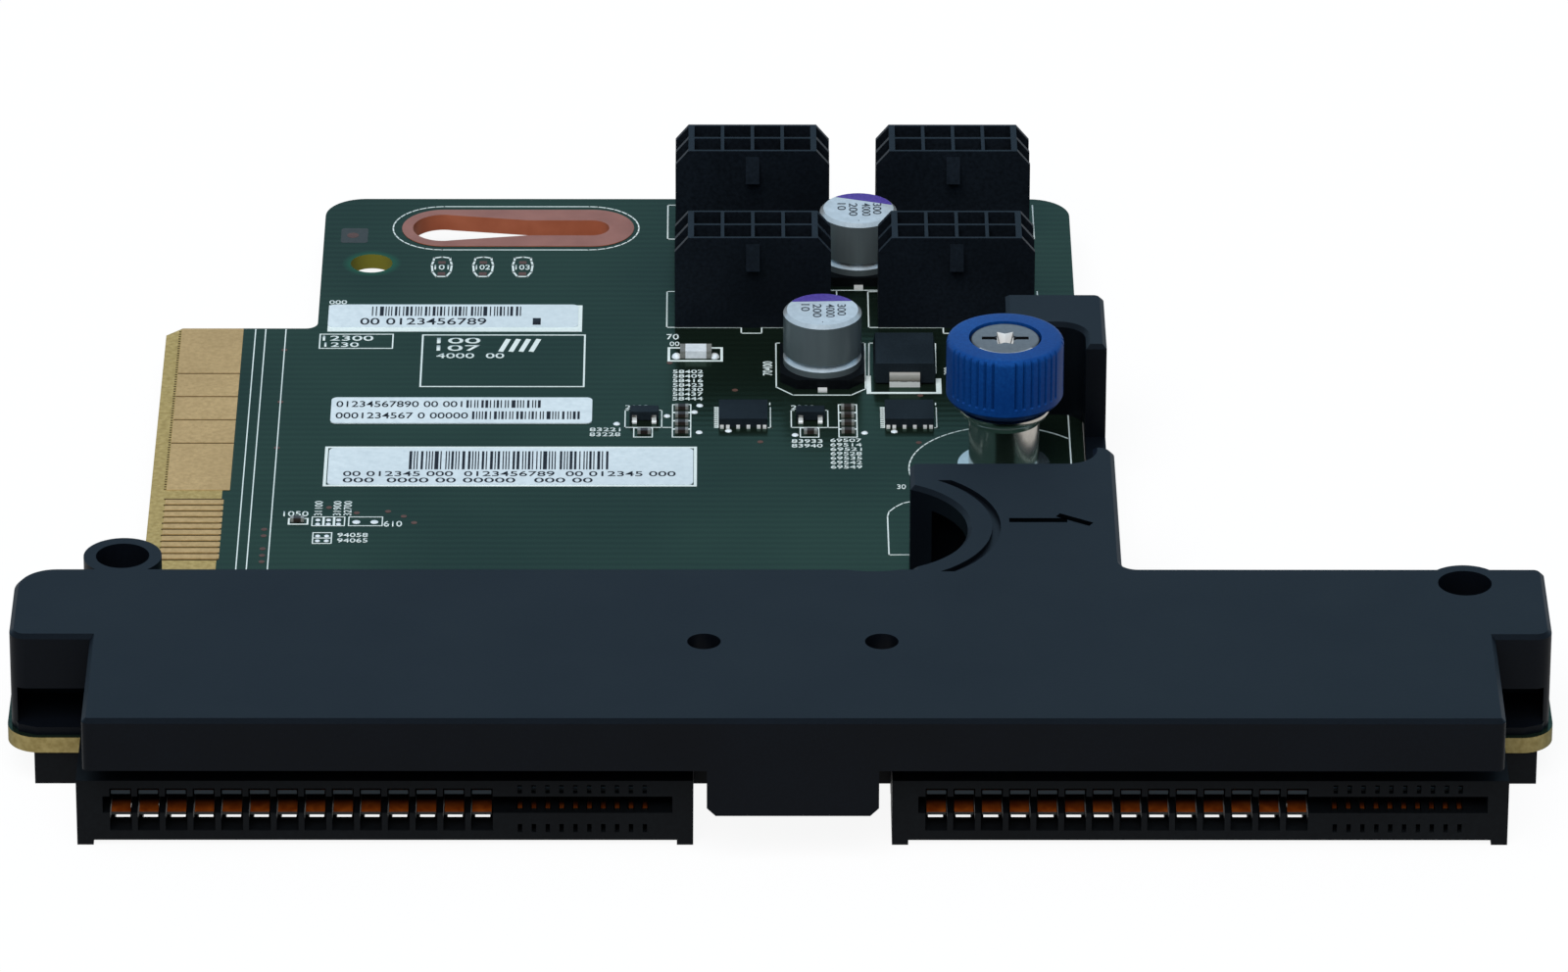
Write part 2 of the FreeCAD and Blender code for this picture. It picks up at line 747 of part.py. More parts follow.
def make_socket(side, left):
    """Card-edge socket that straddles the board's front edge: slot, contact windows, vents, ears and feet."""
    body = new_body(side + "_socket")
    depth = "socket_depth - socket_board_gap"
    block(body, "Additive", left, "socket_face", "socket_foot_height",
          "socket_width", depth, "socket_below_slot + socket_above_slot")
    right = f"{left} + socket_width"
    for start in (left, f"{right} - socket_foot_width"):
        block(body, "Additive", start, "socket_face", "0",
              "socket_foot_width", "socket_foot_depth", "socket_foot_height")
    neck = "socket_foot_width + socket_ear_gap"
    for start, reach in ((f"{left} - socket_left_ear", "socket_left_ear"), (right, "socket_right_ear")):
        block(body, "Additive", start, "board_front + socket_ear_gap", "0",
              reach, "socket_ear_depth", "board_bottom")
    for start in (left, f"{right} - ({neck})"):
        block(body, "Additive", start, "board_front - socket_board_gap - socket_foot_width", "0",
              neck, "socket_ear_depth + socket_foot_width + socket_board_gap + socket_ear_gap", "board_bottom")
    block(body, "Subtractive", f"{left} + card_slot_left", "socket_face", "slot_level - card_slot_height / 2",
          "socket_width - card_slot_left - card_slot_right", "card_slot_depth", "card_slot_height")
    window = block(body, "Subtractive", f"{left} + first_power_window - power_window_width / 2", "socket_face",
                   "slot_level - window_below_slot", "power_window_width", depth,
                   "window_below_slot + window_above_slot")
    row_of(body, window, POWER_COUNT, "power_pitch")
    signal_start = f"{left} + first_power_window + power_span + signal_window_start"
    window = block(body, "Subtractive", f"{signal_start} - signal_window_width / 2",
                   "socket_face + signal_wall", "slot_level - signal_below_slot", "signal_window_width",
                   f"{depth} - signal_wall", "signal_below_slot + signal_above_slot")
    row_of(body, window, SIGNAL_COUNT, "signal_pitch")
    for low in ("slot_level - signal_below_slot", "slot_level + signal_above_slot - signal_opening_height"):
        opening = block(body, "Subtractive", f"{signal_start} - signal_opening_width / 2", "socket_face", low,
                        "signal_opening_width", "signal_wall", "signal_opening_height")
        row_of(body, opening, SIGNAL_COUNT, "signal_pitch")
    vent = block(body, "Subtractive", f"{left} + first_power_window - vent_width / 2",
                 "socket_face + vent_start", "socket_foot_height", "vent_width", "vent_length",
                 "socket_below_slot - window_below_slot")
    row_of(body, vent, POWER_COUNT, "power_pitch")
    node(body, side + "_socket_housing")


def contact_face(direction, setback):
    """Side view of one sprung contact with its tip set back, below the card for -1 and above it for +1."""
    face = size("socket_face")
    level = size("slot_level")
    tail = size("board_thickness") / 2 + size("contact_thickness") / 2
    points = (
        (size("contact_tip_depth") + setback, size("contact_tip_offset")),
        (size("contact_crest_depth") + setback, size("contact_crest_offset")),
        (size("socket_depth") - size("contact_bend_setback"), tail),
        (size("socket_depth") + size("contact_tail_length"), tail),
    )
    path = [Vector(0, face + deep, level + direction * rise) for deep, rise in points]
    return ribbon(path, size("contact_thickness"))


def make_contacts(side, left):
    """Power and signal contacts of one socket, an upper and a lower one in each window."""
    first = left + size("first_power_window")
    signal = first + size("power_span") + size("signal_window_start")
    sets = (
        ("power", first, POWER_COUNT, size("power_pitch"), size("power_contact_width"), 0),
        ("signal", signal, SIGNAL_COUNT, size("signal_pitch"), size("signal_contact_width"),
         size("signal_contact_setback")),
    )
    for kind, start, count, pitch, width, setback in sets:
        solids = []
        for direction in (-1, 1):
            strip = contact_face(direction, setback).extrude(Vector(width, 0, 0))
            for i in range(count):
                solids.append(strip.translated(Vector(start + i * pitch - width / 2, 0, 0)))
        group(f"{side}_{kind}_contacts", solids)


def make_cover():
    """Moulded cover: hollow bar over the sockets, ears, bosses, finger platform and the post behind it."""
    body = new_body("cover")
    horn_left = "rail_left"
    horn_back = "platform_back + platform_horn"
    plan = [
        ("cover_left", "front_y"),
        ("cover_right", "front_y"),
        ("cover_right", "cover_ear_front"),
        ("cover_ear_right", "cover_ear_front"),
        ("cover_ear_right", "cover_back"),
        ("platform_right", "cover_back"),
        ("platform_right", horn_back),
        (horn_left, horn_back),
        (horn_left, "platform_back"),
        ("platform_left", "platform_back"),
        ("platform_left", "cover_back"),
        ("cover_ear_left", "cover_back"),
        ("cover_ear_left", "cover_ear_front"),
        ("cover_left", "cover_ear_front"),
    ]
    raise_sketch(body, outline(body, "XY_Plane", "board_top", plan), "cover_height")
    scallop_x = "platform_left + scallop_reach - scallop_radius"
    scallop_y = "cover_back + scallop_setback"
    round_bar(body, "Subtractive", scallop_x, scallop_y, "board_top", "scallop_radius", "cover_height")
    horn = size("platform_back") + size("platform_horn")
    soften(body, "Fillet", [(size("rail_left"), size("platform_back"))], "Radius", "platform_horn_radius")
    back = size("cover_back")
    soften(body, "Fillet", [(size("cover_ear_left"), back)], "Radius", "left_ear_corner_radius")
    soften(body, "Fillet", [(size("cover_ear_right"), back)], "Radius", "right_ear_corner_radius")
    soften(body, "Fillet", [
        (size("cover_ear_left"), size("cover_ear_front")),
        (size("cover_ear_right"), size("cover_ear_front")),
    ], "Radius", "cover_ear_front_radius")
    soften(body, "Fillet", [
        (size("platform_right"), size("cover_back")),
        (size("platform_right"), horn),
    ], "Radius", "platform_corner_radius")
    soften(body, "Fillet", [
        (size("cover_left"), size("front_y")),
        (size("cover_right"), size("front_y")),
        (size("platform_left"), size("platform_back")),
    ], "Radius", "cover_edge_radius")
    bevel_top(body, size("cover_top"), size("front_y"), "cover_top_bevel")
    make_cover_hollow(body)
    make_ear_feet(body)
    make_cover_post(body)
    make_cover_bosses(body)
    sink_sketch(body, groove_sketch(body, scallop_x, scallop_y), "finger_groove_depth")
    node(body, "cover")


def make_cover_hollow(body):
    """Inside of the cover, open below, with the sockets' mouth under the front wall and the ears' arches."""
    inner = [
        ("cover_left + cover_wall", "front_y + cover_wall"),
        ("cover_right - cover_wall", "front_y + cover_wall"),
        ("cover_right - cover_wall", "cover_back - cover_wall"),
        ("platform_right - cover_wall", "cover_back - cover_wall"),
        ("platform_right - cover_wall", "platform_back - cover_wall"),
        ("platform_left + cover_wall", "platform_back - cover_wall"),
        ("platform_left + cover_wall", "cover_back - cover_wall"),
        ("cover_left + cover_wall", "cover_back - cover_wall"),
    ]
    sink_sketch(body, outline(body, "XY_Plane", "board_top", inner), "cover_height - cover_wall")
    tab_left = "socket_left + socket_width + front_tab_clearance"
    tab_right = "socket_left + socket_spacing - front_tab_clearance"
    reach = "cover_overhang + cover_ear_setback"
    mouth_top = "cover_top - cover_front_height"
    for outer, inner_side, turn in (("cover_left", tab_left, "+"), ("cover_right", tab_right, "-")):
        mouth = outline(body, "XZ_Plane", "-front_y", [
            (outer, "board_top"),
            (f"{inner_side} {turn} front_tab_bevel", "board_top"),
            (inner_side, "board_top + front_tab_bevel"),
            (inner_side, mouth_top),
            (outer, mouth_top),
        ])
        cut_back(body, mouth, reach)
    arch_left = "cover_ear_left + ear_arch_wall"
    block(body, "Subtractive", arch_left, "cover_ear_front", "board_top + ear_arch_floor",
          f"cover_left - ({arch_left})", "ear_arch_depth", "ear_arch_height")
    block(body, "Subtractive", "cover_right", "cover_ear_front", "board_top + ear_arch_floor",
          "cover_ear_right - ear_arch_wall - cover_right", "ear_arch_depth", "ear_arch_height")


def make_ear_feet(body):
    """Thin foot of each ear, nearly as far forward as the board, with its outer corner rounded."""
    front = "board_front + ear_foot_inset"
    back = "cover_ear_front + ear_arch_depth"
    step = f"{ROUND_STEP} * ear_foot_radius"
    for outer, inner, turn in (("cover_ear_left", "cover_left", "+"), ("cover_ear_right", "cover_right", "-")):
        plan = [
            (inner, front),
            (inner, back),
            (outer, back),
            (outer, f"{front} + ear_foot_radius"),
            (f"{outer} {turn} {step}", f"{front} + {step}"),
            (f"{outer} {turn} ear_foot_radius", front),
        ]
        raise_sketch(body, outline(body, "XY_Plane", "board_top", plan), "ear_arch_floor")


def make_cover_post(body):
    """Corner post behind the thumbscrew, tied to the platform by a rail outside the board's edge."""
    bottom = "board_bottom - rail_drop"
    post_left = "platform_right - post_width"
    back = "post_front + post_depth"
    inner = "post_front + post_depth - post_back_wall"
    leg = "platform_right - rail_width"
    plan = [
        (leg, "post_front"),
        ("platform_right", "post_front"),
        ("platform_right", back),
        (post_left, back),
        (post_left, inner),
        (leg, inner),
    ]
    raise_sketch(body, outline(body, "XY_Plane", "board_top", plan), "cover_height")
    right = size("platform_right")
    rear = size("post_front") + size("post_depth")
    soften(body, "Fillet", [(right - size("rail_width"), rear - size("post_back_wall"))],
           "Radius", "post_inner_radius")
    soften(body, "Fillet", [(right, rear)], "Radius", "post_corner_radius")
    bevel_top(body, size("cover_top"), size("post_front"), "cover_top_bevel")
    block(body, "Additive", "rail_left", "platform_back - cover_wall", bottom,
          "rail_width", f"{back} - post_corner_radius - platform_back + cover_wall", f"board_top - ({bottom})")


def make_cover_bosses(body):
    """Bored bosses for the chassis pins and the two small holes in the bar's top."""
    spots = (
        ("board_left + left_boss_inset", "cover_back + left_boss_setback"),
        ("board_right - right_boss_inset", "cover_back + right_boss_setback"),
    )
    for x, y in spots:
        round_bar(body, "Additive", x, y, "board_top", "boss_radius", "cover_height")
    for x, y in spots:
        round_bar(body, "Subtractive", x, y, "board_top", "boss_bore_radius", "cover_height")
    for side in ("-", "+"):
        x = f"cover_middle {side} vent_hole_spacing / 2"
        round_bar(body, "Subtractive", x, "front_y + vent_hole_setback",
                  "cover_top - cover_wall", "vent_hole_radius", "cover_wall")


def groove_sketch(body, x, y):
    """Arc-shaped band round the scallop, ending level above and below its centre."""
    sketch = start_sketch(body, "XY_Plane", "cover_top - finger_groove_depth")
    centre = Vector(size("platform_left") + size("scallop_reach") - size("scallop_radius"),
                    size("cover_back") + size("scallop_setback"), 0)
    half = size("finger_groove_half")
    inner = size("scallop_radius") + size("finger_groove_offset")
    outer = inner + size("finger_groove_width")
    inner_radius = "scallop_radius + finger_groove_offset"
    ends = []
    for radius in (inner, outer):
        angle = math.asin(half / radius)
        circle = Part.Circle(centre, Vector(0, 0, 1), radius)
        sketch.addGeometry(Part.ArcOfCircle(circle, -angle, angle))
        ends.append(centre + Vector(radius * math.cos(angle), half, 0))
    mirror = Vector(0, 2 * half, 0)
    sketch.addGeometry(Part.LineSegment(ends[0] - mirror, ends[1] - mirror))
    sketch.addGeometry(Part.LineSegment(ends[0], ends[1]))
    for line, end in ((2, 1), (3, 2)):
        sketch.addConstraint(Sketcher.Constraint("Coincident", line, 1, 0, end))
        sketch.addConstraint(Sketcher.Constraint("Coincident", line, 2, 1, end))
        sketch.addConstraint(Sketcher.Constraint("Horizontal", line))
    sketch.addConstraint(Sketcher.Constraint("Coincident", 0, 3, 1, 3))
    sizes = (
        (Sketcher.Constraint("DistanceX", -1, 1, 0, 3, centre.x), x),
        (Sketcher.Constraint("DistanceY", -1, 1, 0, 3, centre.y), y),
        (Sketcher.Constraint("Radius", 0, inner), inner_radius),
        (Sketcher.Constraint("Radius", 1, outer), inner_radius + " + finger_groove_width"),
        (Sketcher.Constraint("DistanceY", -1, 1, 0, 1, centre.y - half), f"{y} - finger_groove_half"),
        (Sketcher.Constraint("DistanceY", -1, 1, 0, 2, centre.y + half), f"{y} + finger_groove_half"),
    )
    for constraint, formula in sizes:
        index = sketch.addConstraint(constraint)
        bind(sketch, f"Constraints[{index}]", formula)
    return sketch


def screw_body(name):
    """Body whose own upright axis is the thumbscrew's."""
    body = new_body(name)
    place(body, "screw_x", "screw_y", "0")
    return body


def make_sleeve():
    """Flanged sleeve pressed into the board, with an inner lip below for the spring and a rim on top."""
    body = screw_body("sleeve")
    lip = "shank_radius + running_clearance"
    profile = [
        (lip, "board_bottom"),
        ("sleeve_radius", "board_bottom"),
        ("sleeve_radius", "board_top"),
        ("sleeve_flange_radius", "board_top"),
        ("sleeve_flange_radius", "board_top + sleeve_flange_height"),
        ("sleeve_radius", "board_top + sleeve_flange_height"),
        ("sleeve_radius", "sleeve_rim_bottom"),
        ("sleeve_rim_radius", "sleeve_rim_bottom"),
        ("sleeve_rim_radius", "sleeve_top"),
        ("sleeve_bore_radius", "sleeve_top"),
        ("sleeve_bore_radius", "spring_floor"),
        (lip, "spring_floor"),
    ]
    spin(body, "Revolution", outline(body, "XZ_Plane", "0", profile))
    node(body, "thumbscrew_sleeve")


def make_collar():
    """Polished collar that hooks under the sleeve's rim and carries the knob on a snap bead."""
    body = screw_body("collar")
    lip = "sleeve_radius + running_clearance"
    bead = "collar_outer_radius + collar_bead_reach"
    profile = [
        (lip, "collar_bottom"),
        (f"{lip} + collar_foot_width", "collar_bottom"),
        ("collar_flare_radius", "knob_bottom - end_clearance"),
        ("collar_outer_radius", "knob_bottom - end_clearance"),
        ("collar_outer_radius", "bead_bottom"),
        (bead, "bead_bottom"),
        (bead, "bead_top"),
        ("collar_outer_radius", "bead_top"),
        ("collar_outer_radius", "collar_top"),
        ("collar_inner_radius", "collar_top"),
        ("collar_inner_radius", "collar_bottom + collar_lip_height"),
        (lip, "collar_bottom + collar_lip_height"),
    ]
    spin(body, "Revolution", outline(body, "XZ_Plane", "0", profile))
    node(body, "thumbscrew_collar")


def make_knob():
    """Moulded knob with a rounded crown, a tapered foot and a groove inside for the collar's bead."""
    body = screw_body("knob")
    bead = "knob_bore_radius + collar_bead_reach"
    step = f"{ROUND_STEP} * knob_crown_radius"
    profile = [
        ("knob_bore_radius", "knob_bottom"),
        ("knob_foot_radius", "knob_bottom"),
        ("knob_radius", "knob_bottom + knob_foot_taper"),
        ("knob_radius", "knob_top - knob_crown_radius"),
        (f"knob_radius - {step}", f"knob_top - {step}"),
        ("knob_radius - knob_crown_radius", "knob_top"),
        ("screw_head_radius", "knob_top"),
        ("screw_head_radius", "head_bottom"),
        ("knob_bore_radius", "head_bottom"),
        ("knob_bore_radius", "bead_top + end_clearance"),
        (bead, "bead_top + end_clearance"),
        (bead, "bead_bottom - end_clearance"),
        ("knob_bore_radius", "bead_bottom - end_clearance"),
    ]
    spin(body, "Revolution", outline(body, "XZ_Plane", "0", profile))
    node(body, "thumbscrew_knob")


def make_screw():
    """Steel screw: flat head with a six-pointed recess and a slot, plain shank with a bevelled tip."""
    body = screw_body("screw")
    top = "knob_top - screw_head_recess"
    tip = "board_bottom - shank_tip_drop"
    profile = [
        ("0", tip),
        ("shank_radius - shank_tip_bevel", tip),
        ("shank_radius", f"{tip} + shank_tip_bevel"),
        ("shank_radius", "head_bottom"),
        ("screw_head_radius", "head_bottom"),
        ("screw_head_radius", top),
        ("0", top),
    ]
    spin(body, "Revolution", outline(body, "XZ_Plane", "0", profile))
    floor = f"{top} - recess_depth"
    star = []
    for i in range(2 * RECESS_LOBES):
        reach = ("recess_point_radius", "recess_valley_radius")[i % 2]
        turn = f"({i} * 180 deg / {RECESS_LOBES})"
        star.append((f"{reach} * cos{turn}", f"{reach} * sin{turn}"))
    sink_sketch(body, outline(body, "XY_Plane", floor, star), "recess_depth")
    block(body, "Subtractive", "-recess_slot_length / 2", "-recess_slot_width / 2", floor,
          "recess_slot_length", "recess_slot_width", "recess_depth")
    node(body, "thumbscrew_screw")


def make_spring():
    """Coil spring between the sleeve's inner lip and the screw's head, as a square wire."""
    wire = size("spring_wire_radius")
    radius = size("spring_radius")
    low = size("spring_floor") + wire
    rise = size("head_bottom") - wire - low
    axis = Vector(size("screw_x"), size("screw_y"), 0)
    steps = SPRING_TURNS * SPRING_STEPS
    sections = []
    for i in range(steps + 1):
        angle = math.tau * i / SPRING_STEPS
        out = Vector(math.cos(angle), math.sin(angle), 0)
        centre = axis + out * radius + Vector(0, 0, low + rise * i / steps)
        ring = []
        for corner in range(SPRING_SIDES):
            about = math.tau * corner / SPRING_SIDES
            ring.append(centre + out * (wire * math.cos(about)) + Vector(0, 0, wire * math.sin(about)))
        sections.append(Part.makePolygon(ring + ring[:1]))
    spring = doc.addObject("Part::Feature", "spring")
    spring.Shape = Part.makeLoft(sections, True, True)
    node(spring, "thumbscrew_spring")


def make_header(name, right_step, front_step):
    """Vertical header: two rows of cells, chamfered end plates with a middle rib, and a latch ramp."""
    body = new_body(name + "_header")
    x, y = header_spot(right_step, front_step)
    left = f"{x} - header_width / 2"
    right = f"{x} + header_width / 2"
    front = f"{y} - header_depth / 2"
    silhouette = [
        (left, "board_top"),
        (right, "board_top"),
        (right, "header_top - header_chamfer_height"),
        (f"{right} - header_chamfer_width", "header_top"),
        (f"{left} + header_chamfer_width", "header_top"),
        (left, "header_top - header_chamfer_height"),
    ]
    sketch = outline(body, "XZ_Plane", f"-({y})", silhouette)
    raise_sketch(body, sketch, "header_depth", centred=True)
    channel = "(header_depth - 2 * header_plate - header_end_rib) / 2"
    for start in (left, f"{right} - header_end_width"):
        for across in (f"{front} + header_plate", f"{y} + header_end_rib / 2"):
            block(body, "Subtractive", start, across, "board_top + header_floor",
                  "header_end_width", channel, "header_height")
    first = f"{x} - {(PIN_COLUMNS - 1) / 2} * header_pitch"
    for row in ("- 0.5", "+ 0.5"):
        middle = f"{y} {row} * header_pitch"
        cell = block(body, "Subtractive", f"{first} - header_cell / 2", f"{middle} - header_cell / 2",
                     "board_top + header_floor", "header_cell", "header_cell", "header_height")
        row_of(body, cell, PIN_COLUMNS, "header_pitch")
        hole = block(body, "Subtractive", f"{first} - pin_width / 2", f"{middle} - pin_width / 2",
                     "board_top", "pin_width", "pin_width", "header_floor")
        row_of(body, hole, PIN_COLUMNS, "header_pitch")
    ramp = [
        (front, "header_top - latch_drop"),
        (front, "header_top - latch_drop - latch_height"),
        (f"{front} - latch_reach", "header_top - latch_drop - latch_height"),
    ]
    raise_sketch(body, outline(body, "YZ_Plane", x, ramp), "latch_width", centred=True)
    node(body, name + "_header_housing")
    make_pins(name, right_step, front_step)


def make_pins(name, right_step, front_step):
    """Square pins of one header, from their tails below the board to inside the cells."""
    width = size("pin_width")
    bottom = size("board_top") - size("pin_tail")
    height = size("header_top") - size("pin_below_top") - bottom
    column = size("header_x") + right_step * size("header_spacing_x")
    line = size("header_y") - front_step * size("header_spacing_y")
    pins = []
    for across in range(PIN_COLUMNS):
        for side in (-0.5, 0.5):
            x = column + (across - (PIN_COLUMNS - 1) / 2) * size("header_pitch") - width / 2
            y = line + side * size("header_pitch") - width / 2
            pins.append(Part.makeBox(width, width, height, Vector(x, y, bottom)))
    group(name + "_header_pins", pins)


def make_capacitor(name, x, y):
    """Polymer capacitor: crimped aluminium can on a moulded base with two flat leads."""
    base = new_body(name + "_base")
    low = f"{x} - can_base_width / 2"
    front = f"{y} - can_base_width / 2"
    block(base, "Additive", low, front, "board_top", "can_base_width", "can_base_width", "can_base_height")
    half = size("can_base_width") / 2
    across = size(x)
    line = size(y) - half
    soften(base, "Chamfer", [(across - half, line), (across + half, line)], "Size", "can_base_chamfer")
    node(base, name + "_capacitor_base")
    can = new_body(name + "_can")
    place(can, x, y, "board_top + can_base_height")
    top = "can_height - can_base_height"
    profile = [
        ("0", "0"),
        ("can_radius", "0"),
        ("can_radius", "can_waist_level - can_base_height - can_waist"),
        ("can_radius - can_waist", "can_waist_level - can_base_height"),
        ("can_radius", "can_waist_level - can_base_height + can_waist"),
        ("can_radius", f"{top} - can_round"),
        ("can_radius - can_round", top),
        ("0", top),
    ]
    spin(can, "Revolution", outline(can, "XZ_Plane", "0", profile))
    node(can, name + "_capacitor_can")
    width = size("can_lead_width")
    reach = size("can_lead_reach")
    leads = []
    for edge in (line - reach, line + 2 * half):
        corner = Vector(across - width / 2, edge, size("board_top"))
        leads.append(Part.makeBox(width, reach, size("can_lead_height"), corner))
    group(name + "_capacitor_leads", leads)


def end_capped_chip(x, y, length, width, height, end):
    """Body and two end caps of a surface-mounted chip centred at x, y."""
    floor = size("board_top")
    pieces = []
    for start, run in ((-length / 2 + end, length - 2 * end), (-length / 2, end), (length / 2 - end, end)):
        pieces.append(Part.makeBox(run, width, height, Vector(x + start, y - width / 2, floor)))
    return pieces


def make_fuse():
    """Chip fuse with a ceramic body and two soldered end caps."""
    pieces = end_capped_chip(size("fuse_x"), size("fuse_y"), size("fuse_length"), size("fuse_width"),
                             size("fuse_height"), size("fuse_end"))
    group("fuse_body", pieces[:1])
    group("fuse_end_caps", pieces[1:])


def moulded_package(name, x, y, width, depth, foot, height, taper):
    """Moulded package with sides that slope away from a middle parting line."""
    body = new_body(name)
    bottom = f"board_top + {foot}"
    top = f"board_top + {height}"
    middle = f"board_top + ({foot} + {height}) / 2"
    profile = [
        (f"{x} - {width} / 2 + {taper}", bottom),
        (f"{x} + {width} / 2 - {taper}", bottom),
        (f"{x} + {width} / 2", middle),
        (f"{x} + {width} / 2 - {taper}", top),
        (f"{x} - {width} / 2 + {taper}", top),
        (f"{x} - {width} / 2", middle),
    ]
    sketch = outline(body, "XZ_Plane", f"-({y})", profile)
    raise_sketch(body, sketch, depth, centred=True)
    return body


def bent_lead(x, edge, direction, reach, rise, foot, width, thickness):
    """Lead that leaves a package at half height, bends down and ends flat on the board."""
    floor = size("board_top") + thickness / 2
    points = [
        Vector(0, edge, size("board_top") + rise),
        Vector(0, edge + direction * reach, size("board_top") + rise),
        Vector(0, edge + direction * reach, floor),
        Vector(0, edge + direction * (reach + foot), floor),
    ]
    strip = ribbon(points, thickness).extrude(Vector(width, 0, 0))
    return strip.translated(Vector(x - width / 2, 0, 0))


def make_diode():
    """Surge-clamp diode in a large two-lead package, its leads folded under the body."""
    body = moulded_package("diode", "diode_x", "diode_y", "diode_width", "diode_length",
                           "diode_lead_thickness", "diode_height", "diode_foot")
    node(body, "surge_diode_body")
    thickness = size("diode_lead_thickness")
    rise = (size("diode_lead_thickness") + size("diode_height")) / 2
    leads = []
    for direction in (-1, 1):
        edge = size("diode_y") + direction * size("diode_length") / 2
        foot = -size("diode_lead_reach") - size("diode_lead_foot")
        leads.append(bent_lead(size("diode_x"), edge, direction, size("diode_lead_reach"), rise, foot,
                               size("diode_lead_width"), thickness))
    group("surge_diode_leads", leads)


def make_mosfet(name, step):
    """Flat power transistor with a row of leads in front and a wide drain tab behind."""
    body = new_body(name)
    x = f"(left_package_x + {step} * package_spacing)"
    block(body, "Additive", f"{x} - mosfet_width / 2", "package_y", "board_top",
          "mosfet_width", "mosfet_depth", "mosfet_height")
    node(body, name + "_body")
    middle = size("left_package_x") + step * size("package_spacing")
    width = size("mosfet_lead_width")
    length = size("mosfet_lead_length")
    height = size("mosfet_lead_height")
    reach = size("mosfet_corner_lead")
    spots = [(i - (PIN_COLUMNS - 1) / 2) * size("mosfet_lead_pitch") for i in range(PIN_COLUMNS)]
    leads = []
    for across in [-reach, *spots, reach]:
        corner = Vector(middle + across - width / 2, size("package_y") - length, size("board_top"))
        leads.append(Part.makeBox(width, length, height, corner))
    tab = 2 * reach + width
    corner = Vector(middle - tab / 2, size("package_y") + size("mosfet_depth"), size("board_top"))
    leads.append(Part.makeBox(tab, length, height, corner))
    group(name + "_leads", leads)


def make_transistor(name, step):
    """Small three-lead transistor: two leads in front, one behind."""
    x = f"(left_package_x + {step} * package_spacing + transistor_offset)"
    y = "package_y + transistor_rise + transistor_depth / 2"
    body = moulded_package(name, x, y, "transistor_width", "transistor_depth",
                           "transistor_foot", "transistor_height", "transistor_foot")
    node(body, name + "_body")
    middle = size("left_package_x") + step * size("package_spacing") + size("transistor_offset")
    front = size("package_y") + size("transistor_rise")
    back = front + size("transistor_depth")
    rise = (size("transistor_foot") + size("transistor_height")) / 2
    half = size("transistor_lead_reach") / 2
    spots = ((-size("transistor_lead_pitch") / 2, front, -1), (size("transistor_lead_pitch") / 2, front, -1),
             (0, back, 1))
    leads = []
    for across, edge, direction in spots:
        leads.append(bent_lead(middle + across, edge, direction, half, rise, half,
                               size("transistor_lead_width"), size("transistor_lead_thickness")))
    group(name + "_leads", leads)


def make_chips():
    """Chip resistors and capacitors: a column beside each transistor, one before it, one at the tab."""
    spots = []
    for shift in (0, size("package_spacing")):
        column = size("left_package_x") + shift + size("chip_column_offset")
        for i in range(CHIPS_PER_COLUMN):
            line = size("package_y") + size("chip_column_start") + i * size("chip_column_pitch")
            spots.append((column, line))
        single = size("left_package_x") + shift + size("transistor_offset")
        spots.append((single, size("package_y") - size("single_chip_drop")))
    spots.append((size("corner_chip_x"), size("corner_chip_y")))
    bodies = []
    ends = []
    for x, y in spots:
        pieces = end_capped_chip(x, y, size("chip_length"), size("chip_width"), size("chip_height"),
                                 size("chip_end"))
        bodies += pieces[:1]
        ends += pieces[1:]
    group("chip_bodies", bodies)
    group("chip_end_caps", ends)


def make_label(name):
    """Paper label on the board, with rounded corners."""
    body = new_body(name)
    block(body, "Additive", f"panel_left + {name}_inset", f"back_y - {name}_setback", "board_top",
          f"{name}_width", f"{name}_height", "label_thickness")
    left = size("panel_left") + size(f"{name}_inset")
    right = left + size(f"{name}_width")
    low = size("back_y") - size(f"{name}_setback")
    high = low + size(f"{name}_height")
    soften(body, "Fillet", [(left, low), (right, low), (right, high), (left, high)], "Radius", "label_radius")
    node(body, name)


def build():
    """Make every sub-part of the assembly."""
    make_board()
    make_plating()
    make_fingers()
    make_cover()
    for step, side in enumerate(("left", "right")):
        make_socket(side, f"socket_left + {step} * socket_spacing")
        make_contacts(side, size("socket_left") + step * size("socket_spacing"))
    for name, (right, front) in HEADER_STEPS.items():
        make_header(name, right, front)
    make_capacitor("front", "front_can_x", "front_can_y")
    make_capacitor("rear", "rear_can_x", "rear_can_y")
    make_sleeve()
    make_collar()
    make_knob()
    make_screw()
    make_spring()
    make_fuse()
    make_diode()
    for step, side in enumerate(("left", "right")):
        make_mosfet(side + "_power_switch", step)
        make_transistor(side + "_transistor", step)
    make_chips()
    for place_name in ("rear", "middle", "front"):
        make_label(place_name + "_label")


def check():
    """Stop if any object failed or any sub-part's shape is empty or not valid."""
    for thing in doc.Objects:
        if {"Invalid", "Error"} & set(thing.State):
            raise RuntimeError(f"{thing.Label} failed: {thing.State}")
    for thing in nodes:
        if thing.Shape.isNull() or not thing.Shape.isValid() or not thing.Shape.Solids:
            raise RuntimeError(f"{thing.Label} has no valid solid")


def export():
    """Write each sub-part to a file with its own name."""
    os.makedirs("parts", exist_ok=True)
    for thing in nodes:
        thing.Shape.exportStep(os.path.join("parts", thing.Label + ".step"))


build()
doc.recompute()
check()
export()
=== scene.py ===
import bpy
import math
from mathutils import Euler, Matrix, Vector


